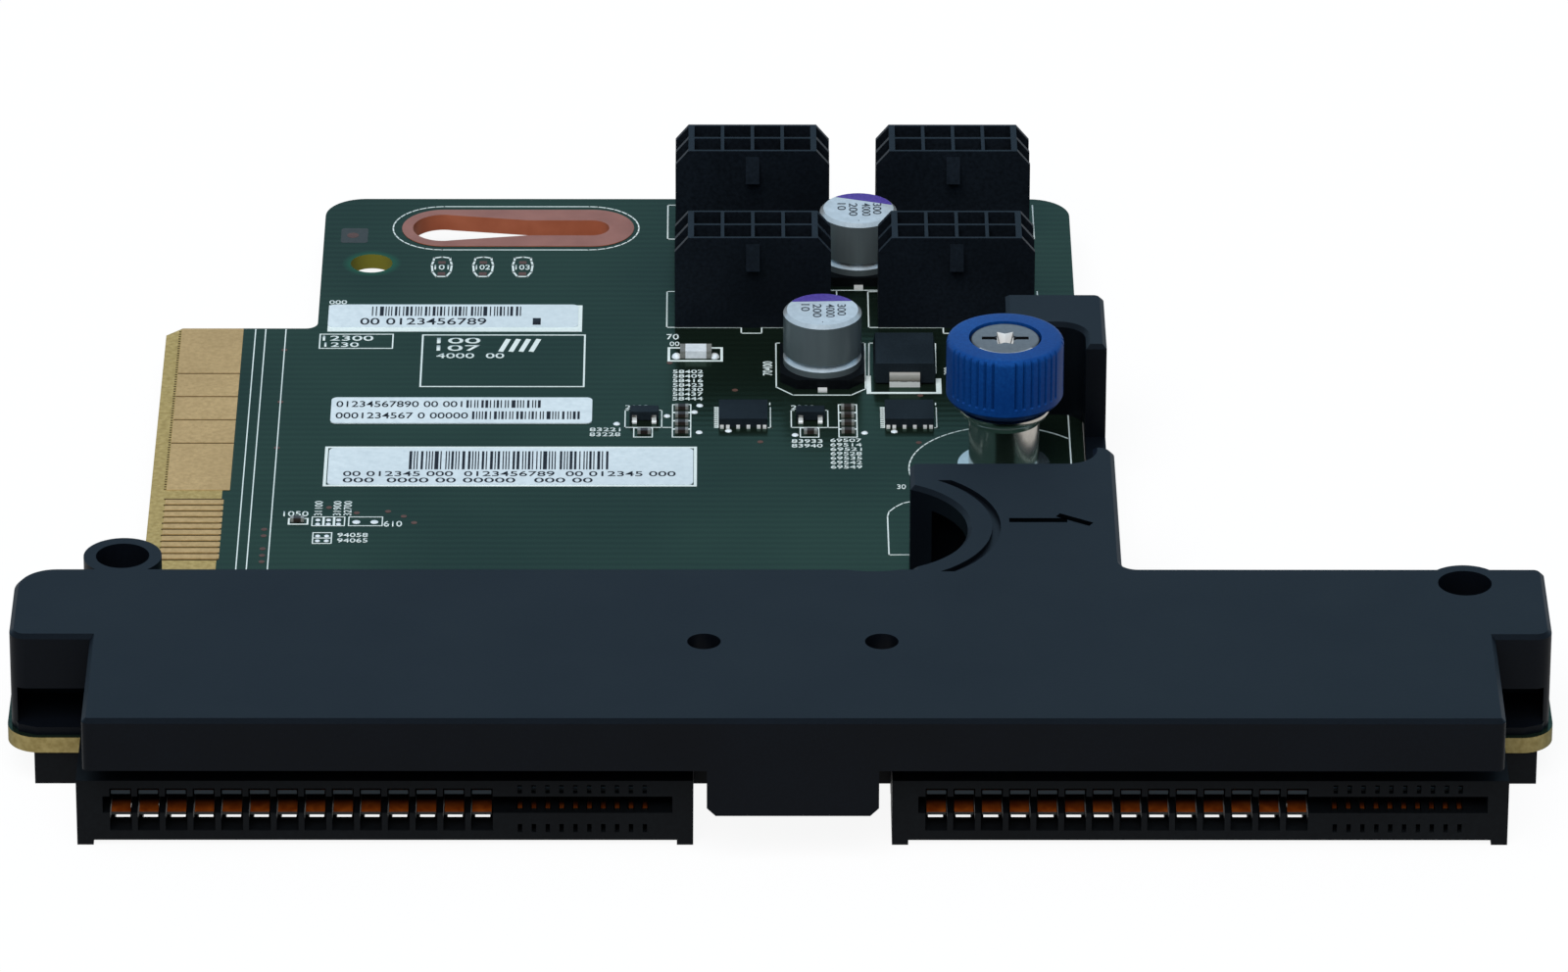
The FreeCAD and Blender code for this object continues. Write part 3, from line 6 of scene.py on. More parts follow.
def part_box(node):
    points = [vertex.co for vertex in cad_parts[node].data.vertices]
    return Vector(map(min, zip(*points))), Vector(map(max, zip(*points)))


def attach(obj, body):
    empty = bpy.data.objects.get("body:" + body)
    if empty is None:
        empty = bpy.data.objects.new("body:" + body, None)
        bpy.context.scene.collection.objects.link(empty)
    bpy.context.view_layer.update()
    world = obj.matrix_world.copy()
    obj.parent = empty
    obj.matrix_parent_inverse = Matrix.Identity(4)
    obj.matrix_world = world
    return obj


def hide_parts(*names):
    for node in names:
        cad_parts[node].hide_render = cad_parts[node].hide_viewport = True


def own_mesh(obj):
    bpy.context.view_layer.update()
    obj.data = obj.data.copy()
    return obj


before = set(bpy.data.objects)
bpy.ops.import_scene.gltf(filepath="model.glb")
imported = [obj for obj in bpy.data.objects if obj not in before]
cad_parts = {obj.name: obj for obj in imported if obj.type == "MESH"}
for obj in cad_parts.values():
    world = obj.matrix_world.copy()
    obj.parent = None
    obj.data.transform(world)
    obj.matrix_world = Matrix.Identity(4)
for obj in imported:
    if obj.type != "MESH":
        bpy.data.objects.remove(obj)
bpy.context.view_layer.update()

MM = 0.001


def top_of(node):
    """Height of a CAD node's top in millimetres."""
    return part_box(node)[1][2] / MM


def middle_of(node):
    """Centre of a CAD node seen from above, in millimetres."""
    low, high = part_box(node)
    return (low[0] + high[0]) / 2 / MM, (low[1] + high[1]) / 2 / MM


# Sizes and places in millimetres, angles in degrees
SILK_THICKNESS = 0.03
INK_THICKNESS = 0.015
COPPER_THICKNESS = 0.02
FIGURE_WEIGHT = 0.006
BOARD_TOP = top_of("circuit_board")
BOARD_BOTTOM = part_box("circuit_board")[0][2] / MM
COVER_TOP = top_of("cover")
LABEL_TOP = top_of("front_label")
# Board: hole with its halo in the mask, keyhole, test marks, traces
HOLE_X = -40.55
HOLE_Y = 50.4
HOLE_REACH = 2.65
HALO_START = 2.2
HALO_END = 3.0
KEYHOLE_X = -26.2
KEYHOLE_Y = 58.55
KEYHOLE_HALF = 7.35
KEYHOLE_LINE = 5.05
TEST_MARKS = (-33.5, -29.36, -25.4)
TRACE_PITCH = 1.1
# Bare margin of the card-edge tab, stepped at the signal fingers, and the fingers themselves
TAB_EDGE = -52.9
TAB_FRONT = -17.5
TAB_STEP = 0.62
TAB_STEP_PLACE = 1.9
POWER_PITCH = 2.54
POWER_GAP = 0.25
NOTCH_PITCH = 0.53
NOTCH_WIDTH = 0.24
SIGNAL_PITCH = 1.27
SIGNAL_GAP = 0.4
# Sockets and headers
# Where the contacts' painted shade begins, at the tips, and where it is full, at the crests, along
# Y
CONTACT_TIP = -61.3
CONTACT_CREST = -59.9
HEADER_PITCH = 3.0
HEADER_COLUMNS = 4
# Thumbscrew
SCREW_X, SCREW_Y = middle_of("thumbscrew_screw")
AXIS = (SCREW_X * MM, SCREW_Y * MM, 0)
TURNED_STEPS = 96
HEAD_RADIUS = 3.5
HEAD_HEIGHT = 1.8
HEAD_GAP = 0.06
HEAD_RIM = 0.45
# Where the painted highlight on the head's front rim begins, in front of the axis
RIM_START = 2
SHANK_RADIUS = 1.5
SHANK_CHAMFER = 0.4
STAR_RADIUS = 1.65
STAR_POINTS = 6
STAR_WAIST = 0.62
STAR_DEPTH = 1.2
STAR_TAPER = 0.6
CUT_ABOVE = 0.2
SLOT = (4.5, 0.62, 1.1)
# Reach of the slot's ends that are painted dark as shade
SLOT_END = 1.65
SLOT_END_HALF = 0.85
KNOB_STEPS = 220
KNOB_BORE = 4.0
KNOB_FOOT = 4.25
KNOB_TAPER = 1.15
KNOB_CROWN = 0.55
KNURL_START = -79.5
KNURL_DEPTH = 0.24
KNURL_BOTTOM = 14.07
KNURL_RUNOUT = 0.12
GROOVES = 7
GROOVE_LINES = 5
GROUP_LINES = 44
SPRING_RADIUS = 2.2
SPRING_TURNS = 5
SPRING_STEPS = 28
WIRE_RADIUS = 0.22
WIRE_SIDES = 8
COLLAR_LIP = 3.45
COLLAR_BORE = 3.65
COLLAR_WALL = 3.95
COLLAR_LIP_HEIGHT = 0.8
COLLAR_CHAMFER = 0.15
COLLAR_NECK = 1.5
FLARE_RADIUS = 0.82
FLARE_HEIGHT = 1.3
FLARE_TOP = 1.45
# Capacitors' polarity marks
MARK_RADIUS = 3.48
MARK_CHORD = 1.8
# Light, floor, and the camera fitted to the photograph
SKY_FILL = 0.34
LAMP_ENERGY = 3.1
LAMP_SPREAD = 50
LAMP_TILT = (32, -8, 0)
FLOOR_DROP = 0.05
FLOOR_GLOW = 0.92
FLOOR_REFLECTED = 0.6
CAMERA_PLACE = (-5.513, -972.333, 498.519)
CAMERA_DOWN = 26.8865
CAMERA_TURN = -0.3572
CAMERA_ROLL = 0.1874
CAMERA_LENS = 259.985
SENSOR_WIDTH = 36


# Materials

def linear(code):
    """sRGB hex colour as linear RGBA."""
    channels = [int(code[i:i + 2], 16) / 255 for i in (1, 3, 5)]
    return [c / 12.92 if c <= 0.04045 else ((c + 0.055) / 1.055) ** 2.4 for c in channels] + [1.0]


def per_mm(length):
    """Texture scale that gives a pattern of this length in millimetres."""
    return 1 / (length * MM)


def add(tree, kind, inputs=None, stops=None, **settings):
    """Add a node with its settings, its inputs as values or links, and its colour stops."""
    node = tree.nodes.new("ShaderNode" + kind)
    for name, value in settings.items():
        setattr(node, name, value)
    for socket, value in (inputs or {}).items():
        if isinstance(value, bpy.types.NodeSocket):
            tree.links.new(value, node.inputs[socket])
        else:
            node.inputs[socket].default_value = value
    for number, (place, code) in enumerate(stops or []):
        ramp = node.color_ramp.elements
        stop = ramp[number] if number < len(ramp) else ramp.new(place)
        stop.position = place
        stop.color = linear(code)
    return node


def sums(tree, operation, *terms):
    """Result of one step of arithmetic on numbers or sockets."""
    return add(tree, "Math", dict(enumerate(terms)), operation=operation).outputs[0]


def span(tree, value, low=0.0, high=1.0, to_low=0.0, to_high=1.0):
    """Value carried from one range to another and held at its ends."""
    ends = {"From Min": low, "From Max": high, "To Min": to_low, "To Max": to_high}
    return add(tree, "MapRange", {"Value": value, **ends}).outputs["Result"]


def noise(tree, where, grain, detail=3.0):
    """Noise with a grain of this size in millimetres."""
    inputs = {"Scale": per_mm(grain), "Detail": detail, "Vector": where}
    return add(tree, "TexNoise", inputs).outputs[0]


def tone(tree, value, dark, light, low=0.3, high=0.7):
    """Colour from dark to light as a value goes from low to high."""
    return add(tree, "ValToRGB", {"Fac": value}, [(low, dark), (high, light)]).outputs[0]


def blend(tree, share, first, second):
    """Colour between two others, which are sRGB codes or sockets."""
    first, second = [linear(c) if isinstance(c, str) else c for c in (first, second)]
    return add(tree, "Mix", {0: share, 6: first, 7: second}, data_type="RGBA").outputs[2]


def point(tree):
    """The shaded point, its coordinates one by one, and which way the surface faces there."""
    where = add(tree, "TexCoord").outputs
    spot = add(tree, "SeparateXYZ", {"Vector": where["Object"]}).outputs
    facing = add(tree, "SeparateXYZ", {"Vector": where["Normal"]}).outputs
    return where["Object"], spot, facing


def blank(name, surface):
    """New material with its shader's own sockets set, and its node tree and shader."""
    material = bpy.data.materials.new(name)
    material.use_nodes = True
    shader = material.node_tree.nodes["Principled BSDF"]
    for socket, value in surface.items():
        shader.inputs[socket].default_value = value
    return material, material.node_tree, shader


def plug(tree, shader, results):
    """Link results to the shader's sockets."""
    for socket, result in results.items():
        tree.links.new(result, shader.inputs[socket])


def grained(name, dark, light, grain, relief, surface):
    """Material whose colour, roughness and relief vary with a fine grain of the given size in
    millimetres."""
    material, tree, shader = blank(name, surface)
    where = add(tree, "TexCoord").outputs["Object"]
    grit = noise(tree, where, grain)
    patch = noise(tree, where, 40 * grain, 2.0)
    rough = surface["Roughness"]
    bump = add(tree, "Bump", {"Strength": 0.4, "Distance": relief * MM, "Height": grit})
    plug(tree, shader, {
        "Base Color": tone(tree, sums(tree, "MULTIPLY", grit, patch), dark, light, 0.12, 0.4),
        "Roughness": span(tree, patch, to_low=rough - 0.07, to_high=rough + 0.07),
        "Normal": bump.outputs["Normal"],
    })
    return material


def solder_masked_laminate():
    """Glass-epoxy laminate under a green solder mask: glossy, the copper planes below it mirror the
    light greenly, and the traces are faintly raised. Its sawn edges and the margin of the card-edge
    tab are bare, a dull straw colour, greener in the hole; round the hole there is no copper and
    the mask is a clearer green."""
    material, tree, shader = blank("solder_masked_laminate", {
        "Specular IOR Level": 0.4, "Specular Tint": (0.52, 0.52, 0.52, 1)})
    where, spot, facing = point(tree)
    # The trace runs along X are drawn coarser than the real ones so that they show.
    traces = add(tree, "TexWave", {
        "Scale": per_mm(TRACE_PITCH) * math.tau / 20, "Distortion": 0.6, "Detail": 1.0,
        "Vector": where}, bands_direction="Y").outputs[0]
    green = tone(tree, noise(tree, where, 22, 2.0), "#2a3a30", "#354739", 0.35, 0.65)
    run = tone(tree, traces, "#2d3f34", "#374c3d", 0.2, 0.9)
    mask = blend(tree, 0.4, green, run)
    away = add(tree, "VectorMath", {0: where, 1: (HOLE_X * MM, HOLE_Y * MM, BOARD_TOP * MM)},
               operation="DISTANCE").outputs["Value"]
    halo = blend(tree, span(tree, away, HALO_START * MM, HALO_END * MM, 0.8, 0.0), mask, "#2f6247")
    straw = tone(tree, noise(tree, where, 0.5), "#927e4b", "#af9a64")
    sawn = blend(tree, sums(tree, "LESS_THAN", away, HOLE_REACH * MM), straw, "#767028")
    edge = sums(tree, "LESS_THAN", sums(tree, "ABSOLUTE", facing["Z"]), 0.5)
    ahead = sums(tree, "LESS_THAN", spot["Y"], TAB_STEP_PLACE * MM)
    stepped = sums(tree, "MULTIPLY_ADD", ahead, TAB_STEP * MM, spot["X"])
    left = sums(tree, "LESS_THAN", stepped, TAB_EDGE * MM)
    behind = sums(tree, "GREATER_THAN", spot["Y"], TAB_FRONT * MM)
    bare = sums(tree, "MAXIMUM", edge, sums(tree, "MULTIPLY", left, behind))
    bump = add(tree, "Bump", {"Strength": 0.25, "Distance": 0.02 * MM, "Height": traces})
    plug(tree, shader, {
        "Base Color": blend(tree, bare, halo, sawn),
        "Metallic": span(tree, bare, to_low=0.83, to_high=0.0),
        "Roughness": span(tree, bare, to_low=0.2, to_high=0.65),
        "Normal": bump.outputs["Normal"],
    })
    return material


def coated_copper():
    """Copper with an organic coating: dull pink on the flat pads, browner on the plated walls."""
    material, tree, shader = blank("coated_copper", {"Roughness": 0.45, "Specular IOR Level": 0.12})
    where, _, facing = point(tree)
    stain = noise(tree, where, 3)
    pad = tone(tree, stain, "#82574d", "#906257")
    wall = tone(tree, stain, "#9a5238", "#ad6246")
    upright = sums(tree, "ABSOLUTE", facing["Z"])
    plug(tree, shader, {"Base Color": blend(tree, upright, wall, pad)})
    return material


def drawn_aluminium():
    """Deep-drawn aluminium with faint streaks on the drawn side: the top painted bright, a painted
    reflection of the light above; the side painted darker, a painted reflection of the
    surroundings."""
    material, tree, shader = blank("drawn_aluminium", {"Metallic": 0.5, "Roughness": 0.3})
    where, _, facing = point(tree)
    laid = add(tree, "Mapping", {"Scale": (1, 1, 0.08), "Vector": where}).outputs["Vector"]
    streak = noise(tree, laid, 0.6, 2.0)
    side = tone(tree, streak, "#6a7476", "#6f797b")
    top = tone(tree, streak, "#c3c4c3", "#d2d3d2")
    # Painted reflection: the colour follows which way the surface faces, brighter on top than on
    # the side.
    plug(tree, shader, {"Base Color": blend(tree, span(tree, facing["Z"], 0.2, 0.9), side, top)})
    return material


def stamped_bronze():
    """Phosphor bronze strip, stamped: deep orange at the tips, painted dark further in as the shade
    inside the socket, and dark grey on the cut ends, painted as the shade under the windows' tops."""
    material, tree, shader = blank("stamped_phosphor_bronze", {"Metallic": 0.3, "Roughness": 0.4})
    where, spot, facing = point(tree)
    bright = tone(tree, noise(tree, where, 0.8, 2.0), "#7a3108", "#a04c14")
    # Painted shade: from the tips to the crests the orange darkens to near black.
    inwards = span(tree, spot["Y"], CONTACT_TIP * MM, CONTACT_CREST * MM)
    painted_shade_inwards = blend(tree, inwards, bright, "#150502")
    # Painted shade: the cut ends that face the front are dark grey.
    ahead = sums(tree, "LESS_THAN", facing["Y"], -0.7)
    plug(tree, shader, {"Base Color": blend(tree, ahead, painted_shade_inwards, "#232423")})
    return material


def tinned_leads():
    """Matt tin on pins and leads, banded by height: white near the board as a painted highlight, a
    dark line of painted shade, then greyer."""
    material, tree, shader = blank("matt_tin_plate", {"Metallic": 0.3, "Roughness": 0.3})
    where, spot, _ = point(tree)
    height = span(tree, spot["Z"], BOARD_TOP * MM, top_of("surge_diode_leads") * MM)
    uneven = sums(tree, "MULTIPLY_ADD", noise(tree, where, 0.3), 0.12, height)
    # Painted highlight in the white band near the board, painted shade in the dark line above it.
    stops = [(0.0, "#f6f4f0"), (0.46, "#eceae6"), (0.54, "#4a463f"), (0.64, "#8d877d"),
             (1.0, "#c9c4bc")]
    plug(tree, shader, {"Base Color": add(tree, "ValToRGB", {"Fac": uneven}, stops).outputs[0]})
    return material


def turned_zinc():
    """Zinc-plated steel, turned: a dull grey face, painted shade near black on the recess and slot
    floors and at the slot's ends, and a painted highlight on the rim and walls that face the front."""
    material, tree, shader = blank("turned_zinc_plate", {"Metallic": 0.5, "Roughness": 0.3})
    where, spot, facing = point(tree)
    face = tone(tree, noise(tree, where, 0.4), "#636262", "#6e6d6c")
    # Painted shade: faces below the head's top are near black.
    sunk = sums(tree, "LESS_THAN", spot["Z"], (top_of("thumbscrew_screw") - 0.3) * MM)
    flat = blend(tree, sunk, face, "#0c0d0e")
    tilted = span(tree, facing["Z"], 0.97, 0.75)
    ahead = span(tree, facing["Y"], 0.1, -0.75)
    # Painted highlight on the rim and walls that face the front; painted shade at the slot's ends
    # behind the rim.
    apart = sums(tree, "ABSOLUTE", sums(tree, "ADD", spot["X"], -SCREW_X * MM))
    slot_end = sums(tree, "COMPARE", apart, SLOT_END * MM, SLOT_END_HALF * MM)
    behind = sums(tree, "GREATER_THAN", spot["Y"], (SCREW_Y - RIM_START) * MM)
    front_rim = sums(tree, "LESS_THAN", spot["Y"], (SCREW_Y - RIM_START) * MM)
    lit = sums(tree, "SUBTRACT", ahead, sums(tree, "MULTIPLY", slot_end, behind))
    lifted = sums(tree, "MULTIPLY_ADD", front_rim, 0.5, lit)
    painted_glint = tone(tree, lifted, "#17181a", "#f4f2ee", 0.45, 0.9)
    plug(tree, shader, {
        "Base Color": blend(tree, tilted, flat, painted_glint),
        "Metallic": span(tree, tilted, to_low=0.5, to_high=0.1),
    })
    return material


MATERIALS = {
    "mask": solder_masked_laminate(),
    "copper": coated_copper(),
    # Hard gold plated on nickel: warm, half matt.
    "gold": grained("electroplated_hard_gold", "#b4915f", "#cfa974", 0.4, 0.002,
                    {"Metallic": 0.4, "Roughness": 0.5, "Specular IOR Level": 0.1}),
    # Etched laminate between the fingers, dark brown in their shadow.
    "gap": grained("etched_gap_in_shadow", "#3f301a", "#554326", 0.4, 0.002,
                   {"Roughness": 0.6, "Specular IOR Level": 0.05}),
    # Black PC-ABS with a fine spark-eroded texture: blue-black, an even soft sheen.
    "cover": grained("textured_pc_abs", "#07090d", "#0a0d12", 0.25, 0.012,
                     {"Roughness": 0.42, "Specular IOR Level": 0.11}),
    # Black glass-filled LCP straight from a smooth mould: a neutral black.
    "socket": grained("glass_filled_lcp", "#0c0d0f", "#121416", 0.4, 0.006,
                      {"Roughness": 0.42, "Specular IOR Level": 0.1}),
    # Black glass-filled nylon of the headers: a little bluer, with a faint sheen.
    "header": grained("glass_filled_nylon", "#0c0f13", "#151a20", 0.35, 0.006,
                      {"Roughness": 0.38, "Specular IOR Level": 0.07}),
    "bronze": stamped_bronze(),
    "tin": tinned_leads(),
    "aluminium": drawn_aluminium(),
    # Black PPS of the capacitors' bases.
    "base": grained("moulded_pps", "#08090b", "#0f1113", 0.3, 0.005,
                    {"Roughness": 0.5, "Specular IOR Level": 0.06}),
    # Glazed alumina of the fuse.
    "ceramic": grained("glazed_alumina", "#c9ced1", "#e0e4e6", 0.5, 0.003,
                       {"Roughness": 0.35, "Specular IOR Level": 0.35}),
    # Epoxy moulding compound: dark grey, dull and slightly rough.
    "epoxy": grained("epoxy_moulding_compound", "#13181c", "#1f262b", 0.15, 0.006,
                     {"Roughness": 0.55, "Specular IOR Level": 0.06}),
    # Fired brown-black dielectric of the chip parts.
    "chip": grained("fired_dielectric", "#1f1a18", "#352c27", 0.2, 0.003,
                    {"Roughness": 0.4, "Specular IOR Level": 0.25}),
    # Coated thermal paper: cool white with a trace of fibre.
    "paper": grained("coated_label_paper", "#c4cfd3", "#d5dfe2", 0.6, 0.004,
                     {"Roughness": 0.55, "Specular IOR Level": 0.08}),
    # Blue nylon of the knob, fine-textured.
    "blue": grained("moulded_blue_nylon", "#0a3470", "#124686", 0.25, 0.008,
                    {"Roughness": 0.45, "Specular IOR Level": 0.12}),
    # Nickel-plated brass, turned and polished.
    "nickel": grained("polished_nickel_plate", "#c6c1b8", "#d6d1c8", 0.6, 0.001,
                      {"Metallic": 1.0, "Roughness": 0.2}),
    "zinc": turned_zinc(),
    # Drawn stainless spring wire.
    "wire": grained("drawn_spring_steel", "#85898c", "#a9adaf", 0.3, 0.002,
                    {"Metallic": 1.0, "Roughness": 0.3}),
    # Screen-printed white epoxy ink, chalky.
    "silk": grained("screen_printed_epoxy_ink", "#ced8d4", "#e3ebe7", 0.25, 0.002,
                    {"Roughness": 0.6, "Specular IOR Level": 0.15}),
    # Black thermal print on the labels.
    "ink": grained("black_thermal_print", "#15171c", "#25282f", 0.2, 0.001,
                   {"Roughness": 0.6, "Specular IOR Level": 0.1}),
    # Violet ink of the capacitors' polarity marks.
    "violet": grained("violet_pad_print", "#41317c", "#5a4899", 0.3, 0.001,
                      {"Roughness": 0.5, "Specular IOR Level": 0.15}),
    # Grey pad print on the capacitors.
    "grey_ink": grained("grey_pad_print", "#33383d", "#454b51", 0.3, 0.001,
                        {"Roughness": 0.5, "Specular IOR Level": 0.15}),
    # Solder-coated ends of the chips: dull and grey.
    "dull_solder": grained("dull_solder_coat", "#7d7c77", "#98978f", 0.2, 0.004,
                           {"Metallic": 0.3, "Roughness": 0.45}),
    # Copper seen through the mask: dark red-brown.
    "tented": grained("mask_covered_copper", "#4a332d", "#5c4138", 0.4, 0.002,
                      {"Roughness": 0.35, "Specular IOR Level": 0.1}),
    # Laminate without mask or copper round the fiducial: dull grey.
    "bare_laminate": grained("etched_bare_laminate", "#323534", "#3b3e3c", 0.4, 0.002,
                             {"Roughness": 0.45, "Specular IOR Level": 0.1}),
    # Painted shadow: a black sheet for the shade at the bottom of the arrow sunk into the cover.
    "shade": grained("painted_shadow_of_sunk_arrow", "#010203", "#040506", 0.2, 0.001,
                     {"Roughness": 0.8, "Specular IOR Level": 0.0}),
    # Reflowed solder: bright and wavy.
    "solder": grained("reflowed_solder", "#dcdbd8", "#f2f1ee", 0.3, 0.006,
                      {"Metallic": 0.3, "Roughness": 0.25}),
}

SIDES = ("left", "right")
ROWS = ("rear", "front")
FINISHES = {
    "circuit_board": "mask",
    "keyhole_plating": "copper",
    "edge_power_fingers": "gold",
    "edge_signal_fingers": "gold",
    "cover": "cover",
    "surge_diode_body": "epoxy",
    "surge_diode_leads": "tin",
    "fuse_body": "ceramic",
    "fuse_end_caps": "dull_solder",
    "chip_bodies": "chip",
    "chip_end_caps": "dull_solder",
    "rear_label": "paper",
    "middle_label": "paper",
    "front_label": "paper",
    "thumbscrew_sleeve": "nickel",
    "thumbscrew_collar": "nickel",
    "thumbscrew_knob": "blue",
    "thumbscrew_screw": "zinc",
    "thumbscrew_spring": "wire",
}
for side in SIDES:
    FINISHES[side + "_socket_housing"] = "socket"
    for contacts in ("_power_contacts", "_signal_contacts"):
        FINISHES[side + contacts] = "bronze"
    for device in ("_power_switch", "_transistor"):
        FINISHES[side + device + "_body"] = "epoxy"
        FINISHES[side + device + "_leads"] = "tin"
    for row in ROWS:
        FINISHES[f"{row}_{side}_header_housing"] = "header"
        FINISHES[f"{row}_{side}_header_pins"] = "tin"
for row in ROWS:
    FINISHES[row + "_capacitor_can"] = "aluminium"
    FINISHES[row + "_capacitor_base"] = "base"
    FINISHES[row + "_capacitor_leads"] = "tin"

for name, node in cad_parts.items():
    for slot in node.material_slots:
        slot.material = MATERIALS[FINISHES[name]]


# Drawing: flat shapes and raised rounds made in edit mode

def enter_edit():
    """Enter edit mode with everything selected."""
    bpy.ops.object.mode_set(mode="EDIT")
    bpy.ops.mesh.select_all(action="SELECT")


def leave_edit():
    """Go back to object mode."""
    bpy.ops.object.mode_set(mode="OBJECT")


def face_outwards():
    """Turn all faces of the mesh that is edited outwards."""
    bpy.ops.mesh.select_all(action="SELECT")
    bpy.ops.mesh.normals_make_consistent(inside=False)


def step_up(rise, grow, centre):
    """Raise the selected ring or disc by a height and widen it about a centre."""
    bpy.ops.mesh.extrude_region_move(TRANSFORM_OT_translate={"value": (0, 0, rise * MM)})
    bpy.ops.transform.resize(value=(grow, grow, 1), center_override=centre)


def smooth(angle):
    """Shade the active piece smoothly, apart from edges sharper than an angle."""
    bpy.ops.object.shade_smooth_by_angle(angle=math.radians(angle))


def give(piece, material):
    """Give a piece one material."""
    piece.data.materials.clear()
    piece.data.materials.append(MATERIALS[material])


def open_print(name):
    """Start an empty mesh in edit mode, with nothing else selected."""
    bpy.ops.object.select_all(action="DESELECT")
    bpy.ops.mesh.primitive_plane_add(size=MM)
    sheet = bpy.context.object
    sheet.name = name
    enter_edit()
    bpy.ops.mesh.delete(type="VERT")
    return sheet


def field(x0, y0, x1, y1, level):
    """Filled rectangle."""
    middle = ((x0 + x1) / 2 * MM, (y0 + y1) / 2 * MM, level * MM)
    bpy.ops.mesh.primitive_plane_add(size=MM, location=middle)
    bpy.ops.transform.resize(value=(x1 - x0, y1 - y0, 1), center_override=middle)


def border(x0, y0, x1, y1, line, level):
    """Rectangle drawn as a line of even width."""
    field(x0, y0, x1, y1, level)
    bpy.ops.mesh.inset(thickness=line * MM)
    bpy.ops.mesh.delete(type="FACE")


def stroke(start, end, line, level):
    """Straight line between two points, with square ends."""
    run = Vector(end) - Vector(start)
    x, y = (Vector(end) + Vector(start)) / 2
    half = (run.length + line) / 2
    field(x - half, y - line / 2, x + half, y + line / 2, level)
    bpy.ops.transform.rotate(value=-math.atan2(run.y, run.x), orient_axis="Z",
                             center_override=(x * MM, y * MM, level * MM))


def path(points, line, level):
    """Line through several points."""
    for start, end in zip(points, points[1:]):
        stroke(start, end, line, level)


def arc(centre, radius, first, last, steps):
    """Points on an arc, between two angles in degrees."""
    points = []
    for i in range(steps + 1):
        turn = math.radians(first + (last - first) * i / steps)
        points.append((centre[0] + radius * math.cos(turn), centre[1] + radius * math.sin(turn)))
    return points


def dot(x, y, radius, level, sides=14):
    """Filled round."""
    bpy.ops.mesh.primitive_circle_add(vertices=sides, radius=radius * MM, fill_type="NGON",
                                      location=(x * MM, y * MM, level * MM))


def figures(words, x0, y0, x1, y1, level, turn=0):
    """Plain numbers as a flat mesh that fills a box, turned by quarter turns first."""
    bpy.ops.object.select_all(action="DESELECT")
    bpy.ops.object.text_add(location=(0, 0, 0))
    bpy.context.object.data.body = words
    bpy.context.object.data.offset = FIGURE_WEIGHT
    bpy.ops.object.convert(target="MESH")
    text = bpy.context.object
    text.rotation_euler.z = math.radians(90 * turn)
    bpy.ops.object.transform_apply(location=False, rotation=True, scale=False)
    across = [vertex.co.x for vertex in text.data.vertices]
    along = [vertex.co.y for vertex in text.data.vertices]
    text.scale = ((x1 - x0) * MM / (max(across) - min(across)),
                  (y1 - y0) * MM / (max(along) - min(along)), 1)
    text.location = (x0 * MM - min(across) * text.scale.x, y0 * MM - min(along) * text.scale.y,
                     level * MM)
    bpy.ops.object.transform_apply(location=True, rotation=False, scale=True)
    return text


def close_print(sheet, texts, thickness, material, body):
    """Join the figures to the sheet, thicken it upwards and let it ride on a body."""
    leave_edit()
    bpy.ops.object.select_all(action="DESELECT")
    for piece in texts + [sheet]:
        piece.select_set(True)
    bpy.context.view_layer.objects.active = sheet
    if texts:
        bpy.ops.object.join()
    enter_edit()
    bpy.ops.mesh.remove_doubles(threshold=1e-7)
    leave_edit()
    wall = sheet.modifiers.new("thickness", "SOLIDIFY")
    wall.thickness = thickness * MM
    wall.offset = 1
    bpy.ops.object.modifier_apply(modifier=wall.name)
    give(sheet, material)
    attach(sheet, body)


def number_rows(first, count, x0, y0, x1, y1, level):
    """Column of plain numbers."""
    step = (y1 - y0) / count
    rows = [(y1 - (i + 0.85) * step, y1 - (i + 0.1) * step) for i in range(count)]
    return [figures(str(first + 7 * i), x0, low, x1, high, level)
            for i, (low, high) in enumerate(rows)]


def bars(x0, y0, x1, y1, level, seed):
    """Generic bar field: lines of uneven width with uneven gaps."""
    x = x0
    count = 0
    while x < x1 - 0.8:
        wider = 0.11 * ((count * 5 + seed) % 4 == 1)
        widest = 0.16 * ((count * 3 + seed) % 7 == 2)
        width = 0.12 + wider + widest
        field(x, y0, x + width, y1, level)
        x += width + 0.16 + 0.1 * ((count * 7 + seed) % 5 == 3) + 0.13 * ((count + seed) % 6 == 4)
        count += 1


# Print and solder on the board, the labels, the capacitors and the cover

